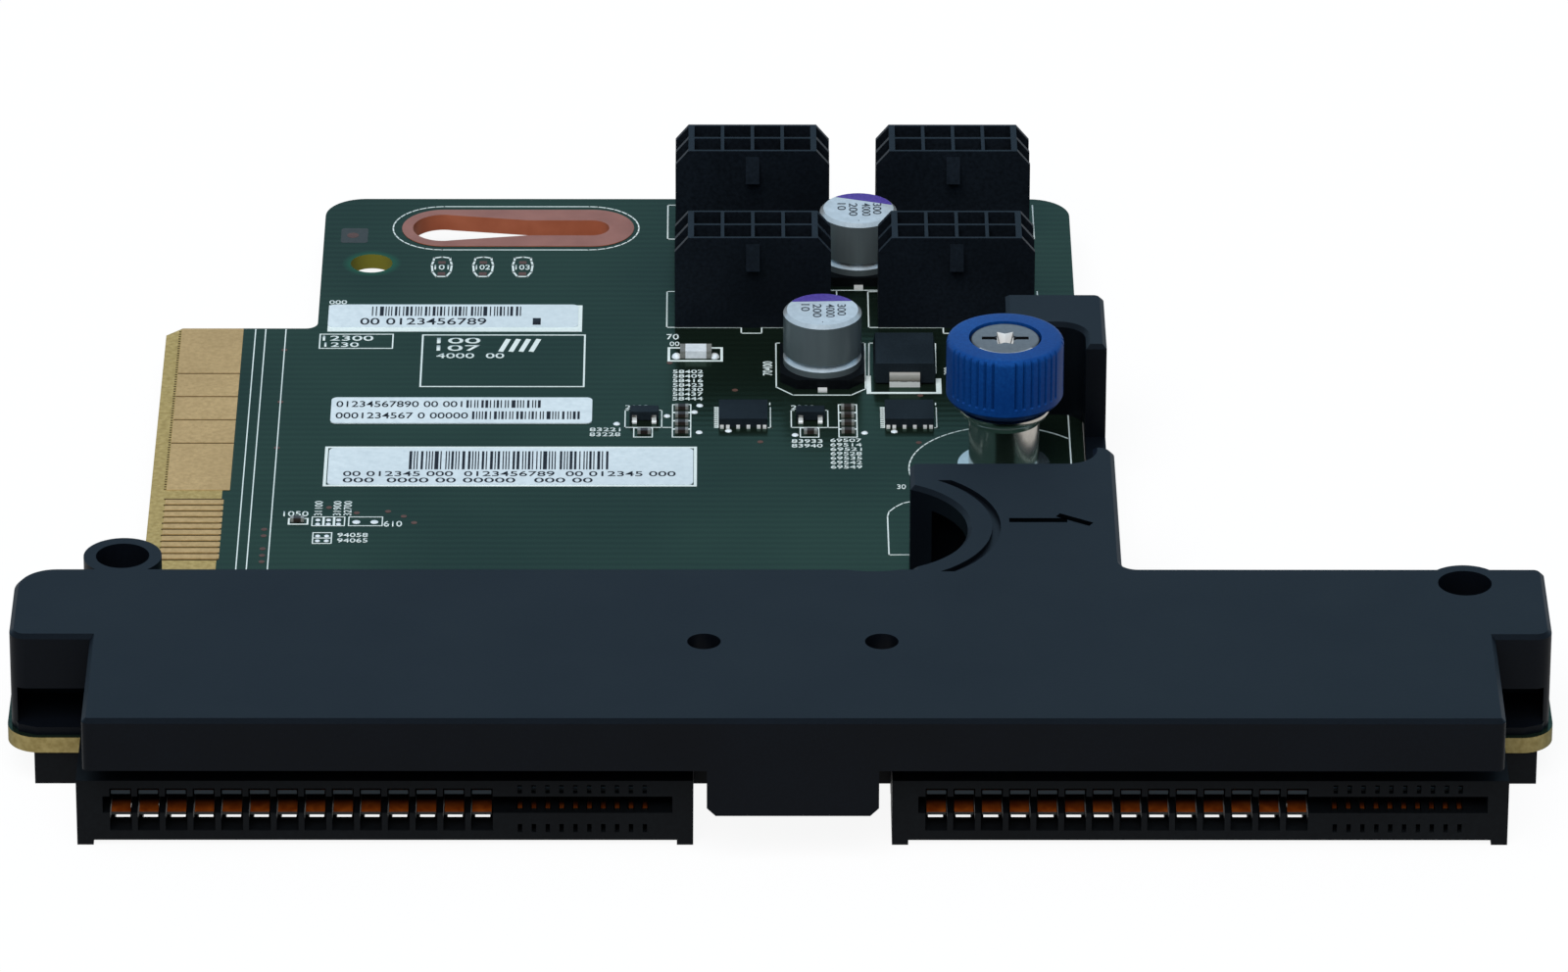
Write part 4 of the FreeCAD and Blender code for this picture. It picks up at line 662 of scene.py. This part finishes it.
def board_lines(level):
    """White lines and fields on the board: outlines of the parts and the long lines."""
    fine, thin = 0.11, 0.13
    box_line, mark_line, fuse_line, label_line, bar = 0.17, 0.2, 0.25, 0.3, 0.5
    # Keyhole outline and the long lines beside the card-edge tab
    left = arc((KEYHOLE_X - KEYHOLE_HALF, KEYHOLE_Y), KEYHOLE_LINE, 90, 270, 18)
    right = arc((KEYHOLE_X + KEYHOLE_HALF, KEYHOLE_Y), KEYHOLE_LINE, -90, 90, 18)
    path(left + right + left[:1], thin, level)
    for x in (-51.6, -50.6, -48.6):
        stroke((x, 35.3), (x, -34.0), fine, level)
    # Field behind the rear label, border of the front one, and the two boxes with slanting bars
    field(-44.5, 34.85, -19.3, 40.75, level)
    border(-43.9, 0.95, -7.85, 9.45, label_line, level)
    border(-45.24, 31.0, -37.9, 34.3, thin, level)
    border(-35.1, 22.5, -18.9, 34.15, box_line, level)
    for i in range(4):
        stroke((-27.2 + i, 30.6), (-26.6 + i, 32.9), bar, level)
    # Header outlines
    for x in (-10.9, 9.12):
        for back, front in ((63.98, 56.03), (43.95, 35.8)):
            path([(x + 0.9, back), (x, back), (x, front), (x + 7.38, front),
                  (x + 7.38, front - 1.3), (x + 9.4, front - 1.3), (x + 9.4, front),
                  (x + 16.9, front), (x + 16.9, back)], thin, level)
    # Capacitor, diode and fuse outlines
    path([(0.24, 32.3), (-0.1, 32.3), (-0.1, 22.5), (1.53, 20.75), (7.24, 20.75), (8.65, 22.1),
          (8.7, 32.3), (8.4, 32.3)], thin, level)
    path([(3.7, 55.2), (3.65, 45.95), (5.3, 44.25), (11.0, 44.25), (12.6, 45.95), (12.6, 55.2)],
         thin, level)
    path([(9.8, 32.3), (9.1, 32.3), (9.0, 25.0)], thin, level)
    stroke((15.6, 25.6), (15.67, 32.2), fine, level)
    field(8.75, 21.4, 9.2, 25.0, level)
    field(15.57, 21.4, 16.1, 24.4, level)
    field(8.75, 21.05, 16.1, 21.4, level)
    border(-10.79, 28.18, -5.33, 31.32, fuse_line, level)
    # Transistors, their chips and the power switches
    for shift in (0, 16.2):
        path([(-14.6 + shift, 17.4), (-14.87 + shift, 17.4), (-14.87 + shift, 13.65),
              (-11.3 + shift, 13.65), (-11.3 + shift, 17.4), (-11.6 + shift, 17.4)], fine, level)
        border(-14.06 + shift, 11.5, -12.15 + shift, 13.6, fine, level)
        for i in range(4):
            border(-10.3 + shift, 11.5 + 1.8 * i, -8.42 + shift, 13.3 + 1.8 * i, fine, level)
        stroke((-11.3 + shift, 13.65), (-10.3 + shift, 13.65), fine, level)
        for i in range(12):
            field(-6.19 + shift, 13.6 + 0.39 * i, -5.85 + shift, 13.8 + 0.39 * i, level)
        field(-5.85 + shift, 13.6, -5.75 + shift, 18.1, level)
        path([(-0.9 + shift, 13.6), (-0.5 + shift, 13.6), (-0.7 + shift, 13.6),
              (-0.7 + shift, 18.0)], fine, level)
        stroke((-0.75 + shift, 18.6), (-0.75 + shift, 19.0), fine, level)
    # Empty chip places at the tab
    border(-46.99, -7.16, -45.02, -5.81, box_line, level)
    for x0, x1 in ((-44.73, -43.58), (-43.58, -42.57), (-42.57, -41.51), (-41.22, -37.89)):
        border(x0, -7.46, x1, -5.5, fine, level)
    for y in (-11.16, -10.0):
        border(-44.56, y, -42.66, y + 1.2, fine, level)
    # Reach of the screw and outline of the finger space
    path(arc((SCREW_X, SCREW_Y), 9.15, 46, 205, 30), thin, level)
    stroke((28.35, 20.6), (28.4, -13.0), thin, level)
    path([(12.6, -2.32), (11.99, -2.57), (11.23, -3.4), (10.61, -4.4), (10.45, -5.39),
          (10.49, -13.44), (15.42, -13.43)], thin, level)
    # Outlines of the test marks
    for x in TEST_MARKS:
        path([(x - 0.8, 51.6), (x, 51.85), (x + 0.8, 51.6), (x + 0.85, 50.9), (x + 1.0, 50.0),
              (x + 0.9, 48.4), (x + 0.5, 47.35), (x - 0.5, 47.35), (x - 0.9, 48.4),
              (x - 1.0, 50.0), (x - 0.85, 50.9), (x - 0.8, 51.6)], mark_line, level)


def board_numbers(level):
    """Plain reference numbers on the board."""
    texts = []
    for first, count, box in (
        (58402, 7, (-10.26, 19.45, -7.29, 26.4)),
        (69507, 7, (5.1, 4.65, 8.15, 11.35)),
        (83221, 2, (-18.3, 11.6, -15.3, 13.7)),
        (83933, 2, (1.34, 9.2, 4.35, 11.2)),
        (94058, 2, (-42.15, -11.05, -39.25, -8.8)),
        (100, 2, (-33.6, 30.3, -29.3, 33.6)),
    ):
        texts += number_rows(first, count, *box, level)
    for words, box in {
        "12300": (-44.9, 32.8, -39.9, 33.9),
        "1230": (-44.7, 31.4, -41.3, 32.4),
        "4000  00": (-33.6, 28.9, -26.9, 30.0),
        "610": (-37.8, -7.55, -36.05, -6.4),
        "1050": (-47.47, -5.4, -45.07, -4.35),
        "2100": (-14.87, 17.65, -12.6, 18.5),
        "2200": (1.33, 17.65, 3.65, 18.5),
        "00": (-10.59, 31.65, -9.63, 32.6),
        "70": (-10.9, 33.1, -9.7, 34.3),
        "000": (-44.5, 41.05, -42.75, 41.9),
        "30": (11.45, 0.43, 12.3, 1.4),
        "40": (14.16, -15.06, 15.2, -13.9),
    }.items():
        texts.append(figures(words, *box, level))
    for words, box in {
        "70400": (-1.41, 25.1, -0.45, 28.2),
        "300": (16.4, 25.3, 17.0, 26.85),
        "31100": (-44.52, -5.25, -43.75, -2.2),
        "31900": (-42.72, -5.25, -41.95, -2.2),
        "32700": (-41.72, -5.25, -40.95, -2.2),
    }.items():
        texts.append(figures(words, *box, level, turn=1))
    for number, x in enumerate(TEST_MARKS):
        texts.append(figures(str(101 + number), x - 0.72, 48.95, x + 0.72, 50.05, level))
    return texts


def silkscreen():
    """White print on the board."""
    sheet = open_print("silkscreen_print")
    board_lines(BOARD_TOP)
    leave_edit()
    close_print(sheet, board_numbers(BOARD_TOP), SILK_THICKNESS, "silk", "board")


def label_print():
    """Generic bar fields and plain numbers on the three labels."""
    level = LABEL_TOP
    sheet = open_print("label_print")
    bars(-40.2, 38.2, -24.6, 40.3, level, 3)
    bars(-30.4, 17.75, -22.6, 19.4, level, 1)
    bars(-29.8, 15.25, -18.7, 16.95, level, 5)
    bars(-35.7, 4.4, -15.8, 8.3, level, 2)
    leave_edit()
    texts = [
        figures("00 0123456789", -41.3, 36.2, -28.8, 37.7, level),
        figures("1", -24.2, 36.2, -23.4, 37.7, level),
        figures("01234567890 00 001", -43.1, 17.9, -30.8, 19.2, level),
        figures("0001234567 0 00000", -43.1, 15.4, -30.2, 16.7, level),
        figures("00 012345 000  0123456789  00 012345 000", -42.0, 2.95, -9.9, 4.0, level),
        figures("000  0000 00 00000   000 00", -42.0, 1.6, -17.9, 2.6, level),
    ]
    close_print(sheet, texts, INK_THICKNESS, "ink", "board")


def covered_copper():
    """Copper that shows brown through the mask: fiducial, test marks' pads and through-holes."""
    level = BOARD_TOP
    sheet = open_print("covered_copper")
    dot(-42.6, 56.87, 0.6, level)
    for x in TEST_MARKS:
        field(x - 0.38, 50.3, x + 0.38, 50.9, level)
        field(x - 0.38, 47.65, x + 0.38, 48.35, level)
    for x, y in ((-48.6, 30.7), (-48.6, 19.2), (-48.6, 9.2), (-49.2, -8.15), (-49.2, -9.5),
                 (-49.2, -12.2), (-49.2, -13.6), (-49.2, -14.9), (-10.58, 27.88), (-4.15, 21.84),
                 (-1.7, 10.55), (13.7, 10.4), (14.0, 20.7), (-43.14, -3.54), (-40.45, -4.67),
                 (-37.45, -4.36), (-35.92, -5.39), (-34.9, -6.73), (-46.1, -6.0)):
        dot(x, y, 0.3, level, sides=10)
    close_print(sheet, [], COPPER_THICKNESS, "tented", "board")


def finger_gaps():
    """Dark gaps between the gold fingers, and the etched notches at the power fingers' ends."""
    sheet = open_print("finger_gaps")
    level = BOARD_TOP
    low, high = [[value / MM for value in corner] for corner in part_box("edge_power_fingers")]
    for count in (4, 6, 8, 10):
        gap = high[1] - count * POWER_PITCH
        field(low[0], gap, high[0], gap + POWER_GAP, level)
    y = low[1] + 0.1
    while y < high[1] - 0.3:
        field(low[0] - 0.26, y, low[0] - 0.04, y + NOTCH_WIDTH, level)
        y += NOTCH_PITCH
    low, high = [[value / MM for value in corner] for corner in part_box("edge_signal_fingers")]
    gap = high[1]
    while gap > low[1] - SIGNAL_GAP:
        field(low[0] - 0.15, gap + 0.06, high[0] - 0.1, gap + SIGNAL_GAP - 0.06, level)
        gap -= SIGNAL_PITCH
    close_print(sheet, [], COPPER_THICKNESS / 2, "gap", "board")


def fiducial_window():
    """Square opening in the mask round the fiducial."""
    sheet = open_print("fiducial_window")
    field(-43.79, 55.16, -41.09, 58.53, BOARD_TOP)
    bpy.ops.mesh.bevel(offset=0.3 * MM, segments=3, affect="VERTICES")
    close_print(sheet, [], COPPER_THICKNESS / 2, "bare_laminate", "board")


def dome(x, y, radius, height, level):
    """Solder dot with a rounded top, raised from a disc in two steps."""
    dot(x, y, radius, level, sides=12)
    for rise, shrink in ((0.6, 0.82), (0.4, 0.5)):
        step_up(rise * height, shrink, (x * MM, y * MM, 0))


def solder_dots():
    """Reflowed solder on the test dots, the empty chip places and at the fuse's ends."""
    sheet = open_print("solder_dots")
    level = BOARD_TOP - 0.02
    # Radius and height of each kind of dot
    test, fuse, pad, wide = (0.36, 0.16), (0.5, 0.4), (0.27, 0.1), (0.42, 0.1)
    for x, y in ((-7.6, 18.45), (-8.11, 17.01), (-10.78, 16.15), (-7.65, 12.6), (-15.68, 14.44),
                 (-4.79, 12.94), (1.68, 12.04), (8.45, 12.5), (11.34, 12.8)):
        dome(x, y, *test, level)
    for x in (-9.9, -6.15):
        dome(x, 29.2, *fuse, level)
    for columns, rows in (((-44.12, -43.1, -42.13), (-7.03, -6.18)),
                          ((-44.04, -43.18), (-10.54, -9.52))):
        for x in columns:
            for y in rows:
                dome(x, y, *pad, level)
    for x in (-40.44, -38.71):
        dome(x, -6.58, *wide, level)
    leave_edit()
    give(sheet, "solder")
    smooth(50)
    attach(sheet, "board")


def solder_joints():
    """Solder cones round the header pins' tails, below the board."""
    sheet = open_print("solder_joints")
    places = []
    for row in ROWS:
        for side in SIDES:
            x, y = middle_of(f"{row}_{side}_header_pins")
            for i in range(HEADER_COLUMNS):
                for step in (-0.5, 0.5):
                    places.append((x + (i - 1.5) * HEADER_PITCH, y + step * HEADER_PITCH))
    for x, y in places:
        dot(x, y, 1.05, BOARD_BOTTOM + 0.02, sides=10)
        for drop, shrink in ((0.25, 0.82), (0.55, 0.66), (0.35, 0.8)):
            step_up(-drop, shrink, (x * MM, y * MM, 0))
    face_outwards()
    leave_edit()
    give(sheet, "solder")
    smooth(60)
    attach(sheet, "board")


def capacitor_print(row, turn):
    """Violet polarity segment at the back of a can's top, and four columns of plain numbers."""
    x, y = middle_of(row + "_capacitor_can")
    level = top_of(row + "_capacitor_can")
    sheet = open_print(row + "_capacitor_mark")
    dot(x, y, MARK_RADIUS, level, sides=40)
    away = Vector((math.sin(math.radians(turn)), math.cos(math.radians(turn)), 0))
    cut = (x * MM + away.x * MARK_CHORD * MM, y * MM + away.y * MARK_CHORD * MM, level * MM)
    bpy.ops.mesh.bisect(plane_co=cut, plane_no=away, clear_inner=True)
    close_print(sheet, [], INK_THICKNESS, "violet", "board")
    sheet = open_print(row + "_capacitor_figures")
    field(x - 0.05, y - 2.9, x + 0.05, y - 2.75, level)
    leave_edit()
    texts = []
    for left, front, words in ((-2.1, -0.4, "10"), (-0.95, -1.75, "200"), (0.35, -1.75, "4000"),
                               (1.45, -1.35, "300")):
        texts.append(figures(words, x + left, y + front, x + left + 0.85, y + 1.15, level, turn=3))
    close_print(sheet, texts, INK_THICKNESS, "grey_ink", "board")


def cover_arrow():
    """Arrow in the platform's top that shows which way the screw turns: a thin black sheet of
    painted shadow.
    """
    sheet = open_print("cover_arrow")
    stroke((21.95, -25.5), (26.6, -25.5), 0.8, COVER_TOP)
    stroke((26.47, -24.63), (28.91, -26.14), 0.75, COVER_TOP)
    close_print(sheet, [], INK_THICKNESS, "shade", "board")


# Thumbscrew pieces

def turned(name, steps, start, section, capped):
    """Round piece on the screw's axis: a ring, or a disc, raised through its section's points."""
    bpy.ops.object.select_all(action="DESELECT")
    bpy.ops.mesh.primitive_circle_add(vertices=steps, radius=start[0] * MM,
                                      fill_type="NGON" if capped else "NOTHING",
                                      location=(AXIS[0], AXIS[1], start[1] * MM))
    piece = bpy.context.object
    piece.name = name
    bpy.ops.object.transform_apply(location=True, rotation=True, scale=True)
    enter_edit()
    last = start
    for place in section:
        step_up(place[1] - last[1], place[0] / last[0], AXIS)
        last = place
    bpy.ops.mesh.select_all(action="SELECT")
    bpy.ops.mesh.remove_doubles(threshold=1e-6)
    bpy.ops.mesh.normals_make_consistent(inside=False)
    bpy.ops.mesh.select_all(action="DESELECT")
    leave_edit()
    return piece


def knurled_knob():
    """Blue knob with five groups of seven grooves that run out through its crown, in the plain
    knob's place."""
    low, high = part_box("thumbscrew_knob")
    bottom, top = low[2] / MM, high[2] / MM
    radius = (high[0] - low[0]) / 2 / MM
    seat = top_of("thumbscrew_screw") - HEAD_HEIGHT
    crown = arc((radius - KNOB_CROWN, top - KNOB_CROWN), KNOB_CROWN, 0, 90, 5)
    outside = [(KNOB_FOOT, bottom), (radius - 0.25, bottom + 0.75), (radius, bottom + KNOB_TAPER),
               (radius, KNURL_BOTTOM - KNURL_RUNOUT), (radius, KNURL_BOTTOM)]
    inside = [(HEAD_RADIUS, top), (HEAD_RADIUS, seat), (KNOB_BORE, seat), (KNOB_BORE, bottom)]
    section = outside + crown + inside
    knob = turned("knurled_knob", KNOB_STEPS, (KNOB_BORE, bottom), section, False)
    # The grooves: in each group, every fifth line of the ring goes in to the grooves' depth.
    floor = radius - KNURL_DEPTH
    for ring_radius, level in [(radius, KNURL_BOTTOM)] + crown:
        if ring_radius <= floor:
            continue
        for vertex in knob.data.vertices:
            across, along = vertex.co.x / MM - SCREW_X, vertex.co.y / MM - SCREW_Y
            turn = math.degrees(math.atan2(along, across)) - KNURL_START
            line = round(turn / 360 * KNOB_STEPS) % GROUP_LINES
            groove = line % GROOVE_LINES == 0 and line <= (GROOVES - 1) * GROOVE_LINES
            here = abs(math.hypot(across, along) - ring_radius) < 0.01
            vertex.select = groove and here and abs(vertex.co.z / MM - level) < 0.01
        bpy.ops.object.mode_set(mode="EDIT")
        inwards = floor / ring_radius
        bpy.ops.transform.resize(value=(inwards, inwards, 1), center_override=AXIS)
        bpy.ops.mesh.select_all(action="DESELECT")
        leave_edit()
    smooth(28)
    give(knob, "blue")
    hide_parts("thumbscrew_knob")
    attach(knob, "knob")


def rounded_collar():
    """Polished collar with a rounded flare under the knob, in the plain collar's place."""
    low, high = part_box("thumbscrew_collar")
    bottom, top = low[2] / MM, high[2] / MM
    radius = (high[0] - low[0]) / 2 / MM
    flare = arc((radius - FLARE_RADIUS, bottom + FLARE_HEIGHT), FLARE_RADIUS, -80, 0, 9)
    neck = [(radius, bottom + FLARE_TOP), (COLLAR_WALL, bottom + COLLAR_NECK), (COLLAR_WALL, top)]
    inside = [(COLLAR_BORE, top), (COLLAR_BORE, bottom + COLLAR_LIP_HEIGHT),
              (COLLAR_LIP, bottom + COLLAR_LIP_HEIGHT), (COLLAR_LIP, bottom)]
    section = [(COLLAR_LIP + COLLAR_CHAMFER, bottom)] + flare + neck + inside
    collar = turned("rounded_collar", TURNED_STEPS, (COLLAR_LIP, bottom), section, False)
    smooth(35)
    give(collar, "nickel")
    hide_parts("thumbscrew_collar")
    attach(collar, "collar")


def coil_spring():
    """Round-wire spring in the sleeve, in the plain spring's place."""
    low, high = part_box("thumbscrew_spring")
    free = (high[2] - low[2]) / MM
    bpy.ops.object.select_all(action="DESELECT")
    bpy.ops.mesh.primitive_circle_add(vertices=WIRE_SIDES, radius=WIRE_RADIUS * MM,
                                      rotation=(math.radians(90), 0, 0),
                                      location=(AXIS[0], AXIS[1], low[2] + WIRE_RADIUS * MM))
    spring = bpy.context.object
    spring.name = "coil_spring"
    enter_edit()
    bpy.ops.transform.translate(value=(SPRING_RADIUS * MM, 0, 0))
    leave_edit()
    bpy.ops.object.transform_apply(location=False, rotation=True, scale=False)
    coil = spring.modifiers.new("coil", "SCREW")
    coil.angle = math.tau
    coil.iterations = SPRING_TURNS
    coil.steps = SPRING_STEPS
    coil.render_steps = SPRING_STEPS
    coil.screw_offset = (free - 2 * WIRE_RADIUS) / SPRING_TURNS * MM
    bpy.ops.object.modifier_apply(modifier=coil.name)
    bpy.ops.object.transform_apply(location=True, rotation=False, scale=False)
    enter_edit()
    bpy.ops.mesh.fill_holes(sides=WIRE_SIDES)
    face_outwards()
    leave_edit()
    smooth(50)
    give(spring, "wire")
    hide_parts("thumbscrew_spring")
    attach(spring, "board")
    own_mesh(spring)


def star_cutter(centre):
    """Six-pointed star that narrows downwards."""
    bpy.ops.object.select_all(action="DESELECT")
    bpy.ops.mesh.primitive_circle_add(vertices=2 * STAR_POINTS, radius=STAR_RADIUS * MM,
                                      fill_type="NGON", location=centre)
    star = bpy.context.object
    bpy.ops.object.transform_apply(location=True, rotation=True, scale=True)
    for vertex in star.data.vertices:
        turn = math.degrees(math.atan2(vertex.co.y - centre[1], vertex.co.x - centre[0]))
        vertex.select = round(turn / (180 / STAR_POINTS)) % 2 == 1
    for part in list(star.data.edges) + list(star.data.polygons):
        part.select = False
    bpy.ops.object.mode_set(mode="EDIT")
    bpy.ops.transform.resize(value=(STAR_WAIST, STAR_WAIST, 1), center_override=centre)
    bpy.ops.mesh.select_all(action="SELECT")
    step_up(-STAR_DEPTH, STAR_TAPER, centre)
    face_outwards()
    leave_edit()
    return star


def slot_cutter(centre):
    """Bar of the slot."""
    bpy.ops.object.select_all(action="DESELECT")
    bpy.ops.mesh.primitive_cube_add(size=MM, location=centre)
    bar = bpy.context.object
    bar.scale = SLOT
    bpy.ops.object.transform_apply(location=True, rotation=True, scale=True)
    return bar


def recessed_screw():
    """Screw with a rounded head rim, a tapered six-pointed recess and a slot, in the plain screw's
    place."""
    low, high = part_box("thumbscrew_screw")
    tip, top = low[2] / MM, high[2] / MM
    rim = arc((HEAD_RADIUS - HEAD_GAP - HEAD_RIM, top - HEAD_RIM), HEAD_RIM, 0, 90, 5)
    section = [(SHANK_RADIUS, tip + SHANK_CHAMFER), (SHANK_RADIUS, top - HEAD_HEIGHT),
               (HEAD_RADIUS - HEAD_GAP, top - HEAD_HEIGHT)] + rim
    start = (SHANK_RADIUS - SHANK_CHAMFER, tip)
    screw = turned("recessed_screw", TURNED_STEPS, start, section, True)
    centre = (SCREW_X * MM, SCREW_Y * MM, (top + CUT_ABOVE) * MM)
    for cutter in (star_cutter(centre), slot_cutter(centre)):
        cut = screw.modifiers.new("recess", "BOOLEAN")
        cut.object = cutter
        cut.operation = "DIFFERENCE"
        bpy.context.view_layer.objects.active = screw
        bpy.ops.object.modifier_apply(modifier=cut.name)
        bpy.data.objects.remove(cutter)
    bpy.ops.object.select_all(action="DESELECT")
    screw.select_set(True)
    smooth(35)
    give(screw, "zinc")
    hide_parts("thumbscrew_screw")
    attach(screw, "knob")


recessed_screw()
coil_spring()
rounded_collar()
knurled_knob()
silkscreen()
label_print()
covered_copper()
finger_gaps()
fiducial_window()
solder_dots()
solder_joints()
capacitor_print("front", -2)
capacitor_print("rear", 18)
cover_arrow()


# Floor, light and camera

def direct_rays(tree):
    """The kinds of ray, and whether one comes from the camera, a reflection or a clear body."""
    ray = add(tree, "LightPath").outputs
    seen = sums(tree, "MAXIMUM", ray["Is Camera Ray"], ray["Is Glossy Ray"])
    return ray, sums(tree, "MAXIMUM", seen, ray["Is Transmission Ray"])


def studio_floor():
    """Plain pale floor just below the part, white to the camera and dimmer in reflections, with a
    soft shadow; it isn't seen from below."""
    bpy.ops.object.select_all(action="DESELECT")
    bpy.ops.mesh.primitive_plane_add(size=6, location=(0, 0, -FLOOR_DROP * MM))
    floor = bpy.context.object
    floor.name = "studio_floor"
    material = bpy.data.materials.new("pale_floor")
    material.use_nodes = True
    tree = material.node_tree
    tree.nodes.clear()
    ray, direct = direct_rays(tree)
    grey = add(tree, "BsdfDiffuse", {"Color": linear("#6a6a6a")}).outputs[0]
    pale = add(tree, "BsdfDiffuse", {"Color": linear("#fafafa")}).outputs[0]
    dimmed = span(tree, ray["Is Glossy Ray"], to_low=1.0, to_high=FLOOR_REFLECTED)
    glow = add(tree, "Emission", {"Color": linear("#ffffff"), "Strength": dimmed}).outputs[0]
    white = add(tree, "MixShader", {0: FLOOR_GLOW, 1: pale, 2: glow}).outputs[0]
    above = add(tree, "MixShader", {0: direct, 1: grey, 2: white}).outputs[0]
    below = add(tree, "BsdfTransparent").outputs[0]
    side = add(tree, "NewGeometry").outputs["Backfacing"]
    shown = add(tree, "MixShader", {0: side, 1: above, 2: below}).outputs[0]
    add(tree, "OutputMaterial", {"Surface": shown})
    floor.data.materials.append(material)


def studio_light():
    """Cool even light all round and one broad soft lamp above and in front, left out of
    reflections."""
    world = bpy.data.worlds.new("studio")
    world.use_nodes = True
    tree = world.node_tree
    tree.nodes.clear()
    ray, direct = direct_rays(tree)
    strength = span(tree, direct, to_low=SKY_FILL, to_high=1.0)
    tint = blend(tree, ray["Is Camera Ray"], "#b6dfff", "#ffffff")
    sky = add(tree, "Background", {"Color": tint, "Strength": strength}).outputs[0]
    add(tree, "OutputWorld", {"Surface": sky})
    bpy.context.scene.world = world
    bpy.ops.object.light_add(type="SUN", rotation=[math.radians(tilt) for tilt in LAMP_TILT])
    lamp = bpy.context.object
    lamp.name = "soft_lamp"
    lamp.data.energy = LAMP_ENERGY
    lamp.data.angle = math.radians(LAMP_SPREAD)
    lamp.visible_glossy = False


def photo_camera():
    """Camera at the photograph's place: long lens, looking down 27 degrees from in front, rolled a
    little."""
    aim = Euler((math.radians(90 - CAMERA_DOWN), 0, math.radians(CAMERA_TURN))).to_matrix()
    rolled = aim @ Matrix.Rotation(math.radians(CAMERA_ROLL), 3, "Z")
    bpy.ops.object.camera_add(location=[value * MM for value in CAMERA_PLACE],
                              rotation=rolled.to_euler())
    camera = bpy.context.object
    camera.data.sensor_fit = "HORIZONTAL"
    camera.data.sensor_width = SENSOR_WIDTH
    camera.data.lens = CAMERA_LENS
    camera.data.clip_end = 20
    bpy.context.scene.camera = camera


studio_floor()
studio_light()
photo_camera()
bpy.context.scene.view_settings.view_transform = "Standard"
